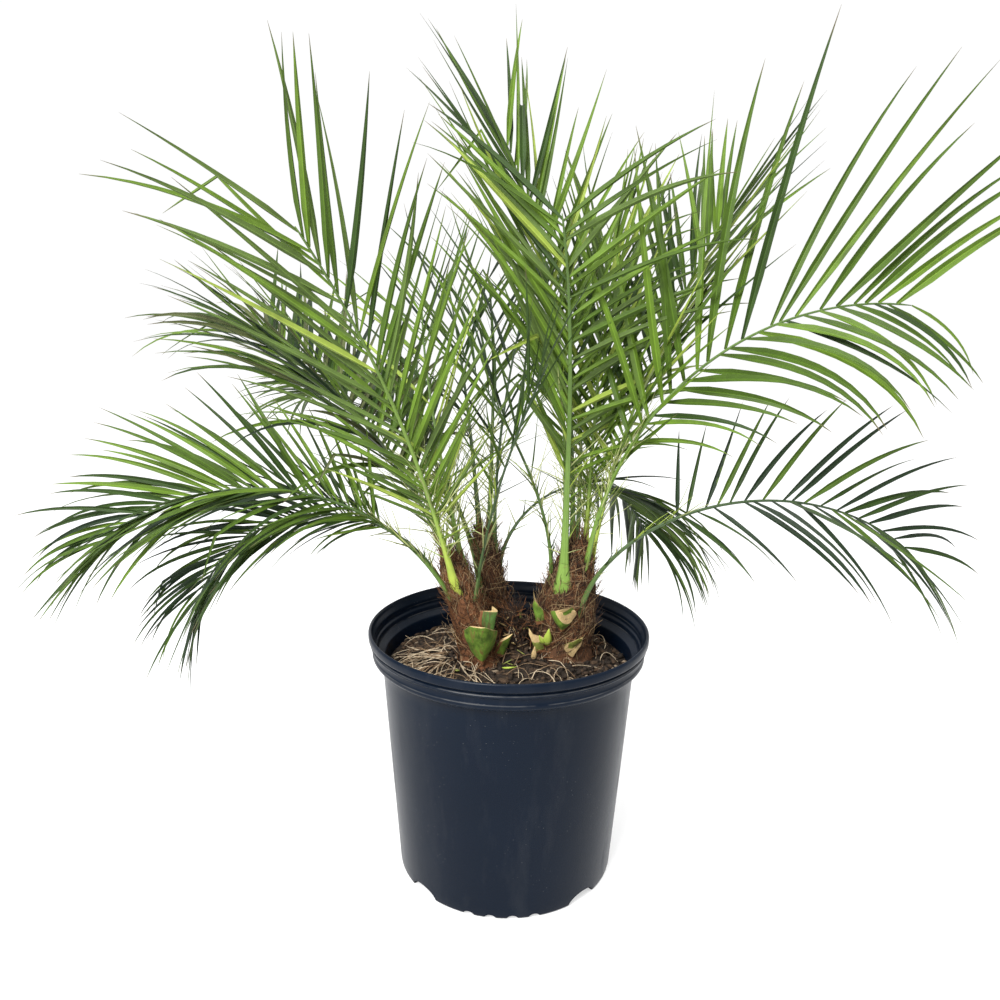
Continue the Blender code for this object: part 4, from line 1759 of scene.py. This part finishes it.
YOUNG = Greens(
    Tone.RIB_YOUNG,
    ((Tone.BRIGHT, 0.50), (Tone.LIME, 0.22), (Tone.MIDDLE, 0.28)),
    ((Tone.BRIGHT, 0.36), (Tone.MIDDLE, 0.40), (Tone.DEEP, 0.24)),
)
FRESH = Greens(
    Tone.RIB_FRESH,
    ((Tone.BRIGHT, 0.48), (Tone.MIDDLE, 0.22), (Tone.LIME, 0.30)),
    ((Tone.BRIGHT, 0.32), (Tone.MIDDLE, 0.44), (Tone.DEEP, 0.24)),
)
GLOSSY = Greens(
    Tone.RIB_FRESH,
    ((Tone.BRIGHT, 0.36), (Tone.MIDDLE, 0.46), (Tone.DEEP, 0.18)),
    ((Tone.BRIGHT, 0.24), (Tone.MIDDLE, 0.50), (Tone.DEEP, 0.26)),
)
GROWN = Greens(
    Tone.RIB_GROWN,
    ((Tone.MIDDLE, 0.46), (Tone.DEEP, 0.30), (Tone.BRIGHT, 0.24)),
    ((Tone.MIDDLE, 0.40), (Tone.DEEP, 0.42), (Tone.DARK, 0.18)),
)
AGED = Greens(
    Tone.RIB_AGED,
    ((Tone.DEEP, 0.46), (Tone.DARK, 0.30), (Tone.MIDDLE, 0.24)),
    ((Tone.DEEP, 0.46), (Tone.DARK, 0.42), (Tone.MIDDLE, 0.12)),
)
FADED = Greens(
    Tone.RIB_AGED,
    ((Tone.OLIVE, 0.26), (Tone.BRIGHT, 0.30), (Tone.MIDDLE, 0.44)),
    ((Tone.DEEP, 0.44), (Tone.DARK, 0.26), (Tone.OLIVE, 0.30)),
)


@dataclass(frozen=True)
class Frond:
    """A feather frond: an arching rib with leaflets along both sides and spines below them."""

    name: str
    stem: str
    height: float
    around: float
    heading: float
    rise: float
    end: float
    length: float
    leaf: float
    greens: Greens
    turn: float = 0.0
    bend: float = 1.3
    bare: float = 0.30
    roll: float = 0.0
    lift: float = 22.0
    droop: float = 0.12
    wide: float = 50.0
    narrow: float = 22.0
    last: float = 0.78
    split: bool = False
    pairs: int = 22
    blade: float = 0.0050
    skew: tuple[float, float] = (0.0, 0.0)
    wild: float = 1.0
    gaps: float = 0.03
    creased: float = 0.03
    thin: float = 1.0
    lopsided: float = 0.0
    stout: float = 0.72
    spines: int = 26
    spine: float = 0.066
    line_steps: int = 60
    rib_steps: int = 44
    rib_sides: int = 10
    spine_steps: int = 5
    collar_fibres: int = 58
    collar_steps: int = 4
    rings: int = 10
    blade_foot: float = 0.34
    pale_share: float = 0.35
    crisp_angle: float = 26.0

    @property
    def nodes(self) -> tuple[str, ...]:
        """Names of the solids that this frond stands for."""
        return (self.name + "_base", self.name + "_tip") if self.split else (self.name,)

    def frame_at(self, share: float) -> tuple[Vector, Vector]:
        """Return the rib's direction and its upper side at a share of its length.

        Args:
            share: The share of the rib's length.

        Returns:
            The direction, and the upper side.
        """
        slope = math.radians(self.rise + (self.end - self.rise) * share**self.bend)
        course = math.radians(self.heading + self.turn * share)
        level, steep = math.cos(slope), math.sin(slope)
        along = Vector((level * math.cos(course), level * math.sin(course), steep))
        upper = Vector((-steep * math.cos(course), -steep * math.sin(course), level))
        return along, upper

    def line(self) -> list[Vector]:
        """Walk along the rib from the stem, one short step after another.

        Returns:
            Points of the rib's middle line.
        """
        centre, radius = STEMS[self.stem].place(self.height)
        inset = max(radius - 0.0015, 0.004)
        spot = centre + outward(math.radians(self.around)) * inset
        points = [spot.copy()]
        for step in range(self.line_steps):
            along, _ = self.frame_at((step + 0.5) / self.line_steps)
            spot = spot + along * (self.length / self.line_steps)
            points.append(spot.copy())
        return points

    def on_line(self, points: list[Vector], share: float) -> Vector:
        """Return the point at a share of the rib's length.

        Args:
            points: Points of the rib's middle line.
            share: The share of the rib's length.

        Returns:
            The point.
        """
        place = clamp(share, 0.0, 1.0) * (len(points) - 1)
        low = min(int(place), len(points) - 2)
        return points[low].lerp(points[low + 1], place - low)

    def rib_radius(self, share: float) -> float:
        """Return the rib's radius at a share of its length, which swells at its foot.

        Args:
            share: The share of the rib's length.

        Returns:
            The radius in metres.
        """
        foot = RIB_FOOT_RADIUS * self.stout
        taper = blend_between(1.0 - share, RIB_TIP_RADIUS * 0.7, foot * 0.56)
        return taper + foot * 0.44 * math.exp(-share / 0.09)

    def leaf_share(self, place: float) -> float:
        """Return how long a leaflet is at a place along the leafy part, as a share of the longest.

        Args:
            place: Its place, from zero at the lowest leaflet to one at the highest.

        Returns:
            The share of the longest leaflet.
        """
        longest = 0.45
        if place < longest:
            return 0.55 + 0.45 * math.sin(place / longest * math.pi / 2.0)
        return 1.0 - (1.0 - self.last) * ((place - longest) / 0.55) ** 1.6

    def add_rib(self, bundle: Bundle, line: list[Vector]) -> None:
        """Add the rib, flattened and broad where it clasps the stem.

        Args:
            bundle: Where it goes.
            line: Points of the rib's middle line.
        """
        out = outward(math.radians(self.around))
        first, upper = self.frame_at(0.0)
        foot = self.rib_radius(0.0)
        path = [line[0] - first * 0.018 - out * 0.0050, line[0] - first * 0.009 - out * 0.0024]
        wide, thick = [foot * 1.8, foot * 1.8], [foot * 0.50, foot * 0.60]
        for step in range(self.rib_steps + 1):
            share = step / self.rib_steps
            path.append(self.on_line(line, share))
            radius = self.rib_radius(share)
            clasp = 1.0 + 0.55 * max(0.0, 1.0 - share / 0.10) ** 2
            wide.append(radius * blend_between(share, 1.12, 0.95) * clasp)
            thick.append(radius * blend_between(share, 0.74, 0.90))
        wide[-1], thick[-1] = 0.0004, 0.0004
        bundle.add_tube(path, wide, thick, self.rib_sides, self.greens.rib, upper)

    def add_spines(self, bundle: Bundle, line: list[Vector]) -> None:
        """Add the long thin spines that stand in place of leaflets on the rib's lower part.

        Args:
            bundle: Where they go.
            line: Points of the rib's middle line.
        """
        rng = random.Random(self.name + "_spines")
        for number in range(self.spines):
            reach = (number + rng.random()) / self.spines
            share = blend_between(reach, 0.08, self.bare + 0.05)
            along, upper = self.frame_at(share)
            side = -1.0 if number % 2 else 1.0
            lift = math.radians(rng.uniform(-20.0, 55.0))
            out = along.cross(upper) * side * math.cos(lift) + upper * math.sin(lift)
            spread = math.radians(rng.uniform(12.0, 66.0))
            heading = along * math.cos(spread) + out * math.sin(spread)
            length = rng.uniform(0.35, 1.0) * self.spine * blend_between(reach, 0.55, 1.25)
            spot = self.on_line(line, share) + out * self.rib_radius(share) * 0.5
            spine = [spot.copy()]
            bow = shake(rng, 0.10) - Vector((0.0, 0.0, 0.06))
            for _ in range(self.spine_steps):
                heading = (heading + bow * 0.3).normalized()
                spot = spot + heading * length / self.spine_steps
                spine.append(spot.copy())
            tone = rng.choice((Tone.NEEDLE, Tone.NEEDLE, Tone.LIME, self.greens.low[0][0]))
            bundle.add_strand(spine, rng.uniform(0.0005, 0.0009), STRAND_TIP, tone, 4)

    def add_collar(self, bundle: Bundle, line: list[Vector]) -> None:
        """Wrap the rib's foot in the torn fibres of its sheath.

        Args:
            bundle: Where it goes.
            line: Points of the rib's middle line.
        """
        rng = random.Random(self.name + "_collar")
        first, upper = self.frame_at(0.0)
        sideways = first.cross(upper)
        foot = self.rib_radius(0.0)
        tones = STEMS[self.stem].strands
        for _ in range(self.collar_fibres):
            turn = rng.uniform(0.0, math.tau)
            out = sideways * math.cos(turn) * 1.75 + upper * math.sin(turn) * 0.62
            spot = line[0] + out * foot * 1.02 - first * rng.uniform(-0.004, 0.016)
            heading = (first + out.normalized() * rng.uniform(0.0, 0.7)).normalized()
            strand = wander(rng, spot, heading, rng.uniform(0.005, 0.021), self.collar_steps, 0.22)
            bundle.add_strand(strand, rng.uniform(0.00025, 0.00055), STRAND_TIP, rng.choice(tones))

    def leaflet_bundle(self, line: list[Vector]) -> Bundle:
        """Build the leaflets, each a thin folded blade in its own outline.

        Args:
            line: Points of the rib's middle line.

        Returns:
            The leaflets.
        """
        rng = random.Random(self.name)
        bundle = Bundle()
        for pair in range(self.pairs):
            for side in (-1.0, 1.0):
                if rng.random() < self.gaps:
                    continue
                place = (pair + 0.5 + 0.2 * side + rng.uniform(-0.3, 0.3) * self.wild) / self.pairs
                place = clamp(place, 0.0, 1.0) ** self.thin
                share = self.bare + (1.0 - self.bare) * place
                along, upper = self.frame_at(share)
                sideways, roll = along.cross(upper), math.radians(self.roll)
                flat = (sideways * math.cos(roll) + upper * math.sin(roll)) * side
                over = upper * math.cos(roll) - sideways * math.sin(roll)
                spread = blend_between(place**0.8, self.wide, self.narrow)
                lean = spread - side * blend_between(place, *self.skew)
                lean = math.radians(lean + rng.gauss(0.0, 3.5) * self.wild)
                rise = self.lift + rng.gauss(0.0, 6.0) * self.wild + (6.0 if pair % 2 else -6.0)
                length = self.leaf * self.leaf_share(place) * rng.uniform(0.86, 1.0)
                length *= 1.0 - side * self.lopsided
                pose = (lean, math.radians(rise), length)
                self.add_leaflet(bundle, rng, (line, share, place), (along, flat, over), pose)
        return bundle

    def leaflet_path(
        self, rng: random.Random, root: Vector, heading: Vector, bias: Vector, length: float
    ) -> list[Vector]:
        """Walk along one leaflet, which bends under its own weight.

        Args:
            rng: Source of its small differences.
            root: Where it starts.
            heading: Its first direction.
            bias: Direction of its own small bow.
            length: Its length.

        Returns:
            The points of its middle line.
        """
        down = Vector((0.0, 0.0, -1.0))
        weight = (2.0 * self.droop + 0.04) * rng.uniform(0.55, 1.45) * clamp(1.4 - 1.5 * heading.z, 0.3, 1.6)
        never = 2.0
        crease = rng.uniform(0.40, 0.70) if rng.random() < self.creased else never
        spot, path = root, [root]
        for ring in range(self.rings):
            part = (ring + 0.5) / self.rings
            pull = (down - heading * heading.dot(down)) * (weight * 2.0 * part / self.rings)
            if part > crease:
                pull, crease = down * rng.uniform(0.8, 1.8), never
            heading = (heading + pull + bias / self.rings).normalized()
            spot = spot + heading * (length / self.rings)
            path.append(spot)
        return path

    def add_leaflet(
        self,
        bundle: Bundle,
        rng: random.Random,
        spot: tuple[list[Vector], float, float],
        axes: tuple[Vector, Vector, Vector],
        pose: tuple[float, float, float],
    ) -> None:
        """Add one leaflet.

        Args:
            bundle: Where it goes.
            rng: Source of its small differences.
            spot: The rib's line, the share of it where the leaflet sits, and its place along the leafy part.
            axes: The rib's direction, the side it leaves to, and the frond's upper side.
            pose: Its lean from the rib and its rise, in radians, and its length.
        """
        line, share, place = spot
        along, flat, over = axes
        lean, rise, length = pose
        out = flat * math.cos(rise) + over * math.sin(rise)
        face = over * math.cos(rise) - flat * math.sin(rise)
        root = self.on_line(line, share) + out * self.rib_radius(share) * 0.55
        heading = along * math.cos(lean) + out * math.sin(lean)
        forward = along * rng.uniform(-0.04, 0.22)
        sway = face * rng.gauss(0.0, 0.09) + out * rng.gauss(0.0, 0.06)
        path = self.leaflet_path(rng, root, heading, forward + sway * self.wild, length)
        if any(in_pot(point) for point in path):
            return
        twist = math.radians(rng.gauss(0.0, 24.0) * self.wild)
        half = self.blade / 2.0 * rng.uniform(0.78, 1.12) * clamp(length / 0.13, 0.70, 1.12)
        points, lay = [], []
        for ring, point in enumerate(path):
            part = ring / self.rings
            tangent = (path[min(ring + 1, self.rings)] - path[max(ring - 1, 0)]).normalized()
            across = face.cross(tangent).normalized()
            up = tangent.cross(across)
            cosine, sine = math.cos(twist * part), math.sin(twist * part)
            across, up = across * cosine + up * sine, up * cosine - across * sine
            swell = blend_between(clamp(part / 0.20, 0.0, 1.0), self.blade_foot, 1.0)
            width = half * swell * (1.0 - part**2.3) + 0.00008
            fold = width * blend_between(part, 0.90, 0.42)
            depth = 0.00026 * (1.0 - part) + 0.00005
            points += [
                point + across * width + up * fold,
                point + up * depth,
                point - across * width + up * fold,
                point - up * depth,
            ]
            lay += [(1.0, part), (0.5, part), (0.0, part), (0.5, part)]
        faces = tube_faces(self.rings + 1, 4)
        tone = bundle.slot(self.greens.pick(rng, place))
        back = bundle.slot(Tone.PALE) if rng.random() < self.pale_share else tone
        walls = self.rings * 4
        slots = [back if number < walls and number % 4 >= 2 else tone for number in range(len(faces))]
        bundle.add(np.array(points), np.array(lay), faces, slots)

    def build(self, paints: Paints) -> None:
        """Build the rib and the leaflets, and let them stand for the frond's solids.

        Args:
            paints: Where the materials come from.
        """
        line = self.line()
        leaflets = self.leaflet_bundle(line).piece(self.name + "_leaflets", paints, self.crisp_angle)
        register(leaflets, "frond", *self.nodes)
        rib = Bundle()
        self.add_rib(rib, line)
        self.add_spines(rib, line)
        self.add_collar(rib, line)
        register(rib.piece(self.name + "_rib", paints), "frond", *self.nodes)


FRONDS = (
    Frond("frond_left_front", "left_stem", 0.304, 255, 222, 73, 48, 0.36, 0.192, YOUNG,
          turn=12, roll=-48, bare=0.20, narrow=24, lift=12, droop=0.14,
          pairs=30, thin=1.50, wild=1.3, blade=0.0051, creased=0.10, stout=0.95, spines=50, spine=0.085),
    Frond("frond_left_inner", "left_stem", 0.318, 40, 125, 66, 42, 0.30, 0.18, FRESH,
          turn=-30, bare=0.24, roll=20, droop=0.26, wide=52, narrow=28, wild=1.6, gaps=0.14, creased=0.06,
          pairs=12, blade=0.0040, spines=60, spine=0.10),
    Frond("frond_left_low", "left_stem", 0.292, 205, 184, 62, -40, 0.365, 0.15, GROWN,
          turn=8, bend=1.0, bare=0.26, roll=40, droop=0.15, last=0.65, split=True, wild=1.3, pairs=44,
          blade=0.0054),
    Frond("frond_left_drooping", "left_stem", 0.280, 160, 174, 69, -68, 0.31, 0.128, AGED,
          turn=30, bend=1.1, bare=0.35, roll=32, lift=12, droop=0.20, wide=46, narrow=24, split=True,
          pairs=42, blade=0.0045, wild=1.3),
    Frond("frond_left_rear", "left_stem", 0.300, 110, 148, 66, 20, 0.35, 0.185, FADED,
          bend=0.9, bare=0.24, droop=0.40, wide=68, narrow=38, pairs=64, blade=0.0054, wild=2.0,
          spines=44, spine=0.09),
    Frond("frond_middle_front", "left_stem", 0.290, 330, 335, 84, 62, 0.24, 0.14, AGED,
          turn=-10, bend=0.9, bare=0.42, wide=45, droop=0.22, pairs=8, blade=0.0035, wild=2.2, gaps=0.16,
          stout=0.60, spines=18),
    Frond("frond_rear_left_upright", "rear_stem", 0.328, 122, 104, 66, 40, 0.32, 0.17, AGED, bare=0.35,
          droop=0.18, pairs=7, blade=0.0037, wild=1.9, gaps=0.14, spines=26, spine=0.075),
    Frond("frond_rear_upright", "rear_stem", 0.331, 50, 80, 84, 45, 0.29, 0.16, GROWN, turn=20, bare=0.35,
          droop=0.24, pairs=7, blade=0.0038, wild=1.8, gaps=0.12),
    Frond("frond_middle_inner", "rear_stem", 0.322, 350, 50, 92, 55, 0.25, 0.15, AGED,
          turn=20, bare=0.35, droop=0.30, pairs=8, blade=0.0035, wild=2.2, gaps=0.12, stout=0.60, spines=18),
    Frond("frond_behind_right", "rear_stem", 0.298, 25, 35, 92, -62, 0.275, 0.17, AGED,
          bend=0.75, bare=0.46, droop=0.30, lift=5, wide=58, narrow=30, split=True, pairs=34, blade=0.0062,
          stout=0.60, spines=14),
    Frond("frond_rear_left_low", "rear_stem", 0.296, 215, 128, 66, -20, 0.40, 0.16, GROWN,
          turn=8, bend=1.1, bare=0.34, droop=0.20, split=True, pairs=40, blade=0.0054, wild=1.6),
    Frond("frond_right_front", "right_stem", 0.298, 245, 262, 96, 68, 0.35, 0.20, FRESH,
          turn=-20, bend=1.7, roll=-22, wide=48, narrow=54, droop=0.28, wild=1.25, pairs=26, blade=0.0056,
          skew=(24.0, 6.0), stout=1.08, spines=18),
    Frond("frond_right_wide", "right_stem", 0.318, 314, 349, 82, -6, 0.418, 0.242, GLOSSY,
          turn=10, bend=1.2, droop=0.24, lift=12, roll=-62, wide=56, narrow=36, last=0.50, split=True,
          pairs=20, blade=0.0071, lopsided=0.26, creased=0.0, stout=0.86, spines=22),
    Frond("frond_right_low", "right_stem", 0.278, 300, 352, 84, -38, 0.39, 0.15, AGED,
          turn=24, bend=0.65, bare=0.32, droop=0.14, lift=20, roll=-55, wide=66, narrow=28, split=True,
          pairs=18, blade=0.0056, stout=0.80, spines=14),
    Frond("frond_right_inner", "right_stem", 0.300, 185, 165, 96, 38, 0.27, 0.15, GROWN,
          turn=-35, bend=0.65, bare=0.35, droop=0.26, pairs=7, blade=0.0038, wild=1.7, gaps=0.12),
    Frond("frond_right_upright", "right_stem", 0.322, 95, 95, 80, 20, 0.37, 0.18, GROWN, turn=-8, bend=1.2,
          pairs=17, blade=0.0045, wild=1.4),
    Frond("frond_right_rear", "right_stem", 0.320, 45, 72, 82, 62, 0.315, 0.18, YOUNG,
          turn=10, bend=0.9, bare=0.22, droop=0.06, wide=46, narrow=19, pairs=32, blade=0.0046, wild=1.3,
          spines=50, spine=0.08),
    Frond("frond_right_outer", "right_stem", 0.314, 8, 28, 79, 48, 0.38, 0.20, YOUNG,
          turn=10, bend=1.1, bare=0.24, wide=52, narrow=24, pairs=29, blade=0.0056, wild=1.2, creased=0.0,
          spines=44, spine=0.08),
    Frond("frond_right_tall", "right_stem", 0.322, 140, 140, 90, 60, 0.41, 0.20, FRESH,
          bend=1.5, bare=0.35, roll=18, wild=1.3, wide=46, narrow=18, lift=12,
          pairs=24, blade=0.0051, creased=0.05),
    Frond("frond_rear_right_low", "right_stem", 0.292, 70, 82, 72, -25, 0.42, 0.17, GROWN,
          turn=10, bend=1.1, bare=0.32, droop=0.16, split=True, pairs=22, blade=0.0048),
)


# Studio


@dataclass
class Studio:
    """Plain pale floor, white surroundings, two soft lights and the camera."""

    floor_size: float = 14.0
    surround: float = 1.02
    key_power: float = 98.0
    key_size: float = 1.1
    key_spot: Spot = (-0.9, -1.6, 1.9)
    top_power: float = 26.0
    top_size: float = 1.6
    top_spot: Spot = (0.5, 0.3, 2.2)
    aim: Spot = (0.0, 0.0, 0.4)
    lens: float = 30.6
    sensor: float = 36.0
    camera_spot: Spot = (-0.0104, -0.803, 0.567)
    camera_pitch: float = 77.0
    camera_roll: float = 0.79

    def floor(self) -> None:
        """Lay the floor."""
        deselect()
        bpy.ops.mesh.primitive_grid_add(x_subdivisions=8, y_subdivisions=8, size=self.floor_size)
        floor = settle(bpy.context.object, "floor")
        floor.data.materials.append(PaleFloor().material())

    def surroundings(self) -> None:
        """Surround the scene with even white light."""
        world = bpy.data.worlds.new("white_surround")
        world.use_nodes = True
        background = world.node_tree.nodes["Background"]
        background.inputs["Color"].default_value = (1.0, 1.0, 1.0, 1.0)
        background.inputs["Strength"].default_value = self.surround
        bpy.context.scene.world = world

    def soft_light(self, name: str, spot: Spot, size: float, power: float) -> None:
        """Hang one soft square light that faces the middle of the plant.

        Args:
            name: Its name.
            spot: Where it hangs.
            size: Length of its side.
            power: Its power in watts.
        """
        light = bpy.data.lights.new(name, "AREA")
        light.size, light.energy = size, power
        lamp = bpy.data.objects.new(name, light)
        bpy.context.scene.collection.objects.link(lamp)
        turn = (Vector(self.aim) - Vector(spot)).to_track_quat("-Z", "Y").to_matrix().to_4x4()
        lamp.matrix_world = Matrix.Translation(spot) @ turn

    def camera(self) -> None:
        """Stand the camera where the photograph was taken from."""
        data = bpy.data.cameras.new("camera")
        data.lens, data.sensor_width = self.lens, self.sensor
        camera = bpy.data.objects.new("camera", data)
        bpy.context.scene.collection.objects.link(camera)
        camera.matrix_world = (
            Matrix.Translation(self.camera_spot)
            @ Matrix.Rotation(math.radians(self.camera_pitch), 4, "X")
            @ Matrix.Rotation(math.radians(self.camera_roll), 4, "Z")
        )
        bpy.context.scene.camera = camera

    def build(self) -> None:
        """Set up the whole studio."""
        self.floor()
        self.surroundings()
        self.soft_light("key_light", self.key_spot, self.key_size, self.key_power)
        self.soft_light("top_light", self.top_spot, self.top_size, self.top_power)
        self.camera()
        bpy.context.scene.view_settings.view_transform = "Standard"


def main() -> None:
    """Build the studio, the pot, the mix, the stems, the stubs and the fronds."""
    logging.basicConfig(level=logging.INFO, format="%(name)s: %(message)s")
    paints = Paints()
    Studio().build()
    pot = NurseryPot()
    pot.dress(pot.build(), paints)
    PottingMix().build(paints)
    for stem in STEMS.values():
        stem.dress(stem.build(), paints)
    for base in CUT_BASES:
        base.dress(base.build(), paints)
    for bit in GREEN_BITS:
        bit.dress(bit.build(paints))
    for frond in FRONDS:
        frond.build(paints)
    faces = sum(len(piece.data.polygons) for piece in bpy.data.objects if piece.type == "MESH")
    LOG.info("faces in all: %d", faces)


if __name__ == "__main__":
    main()
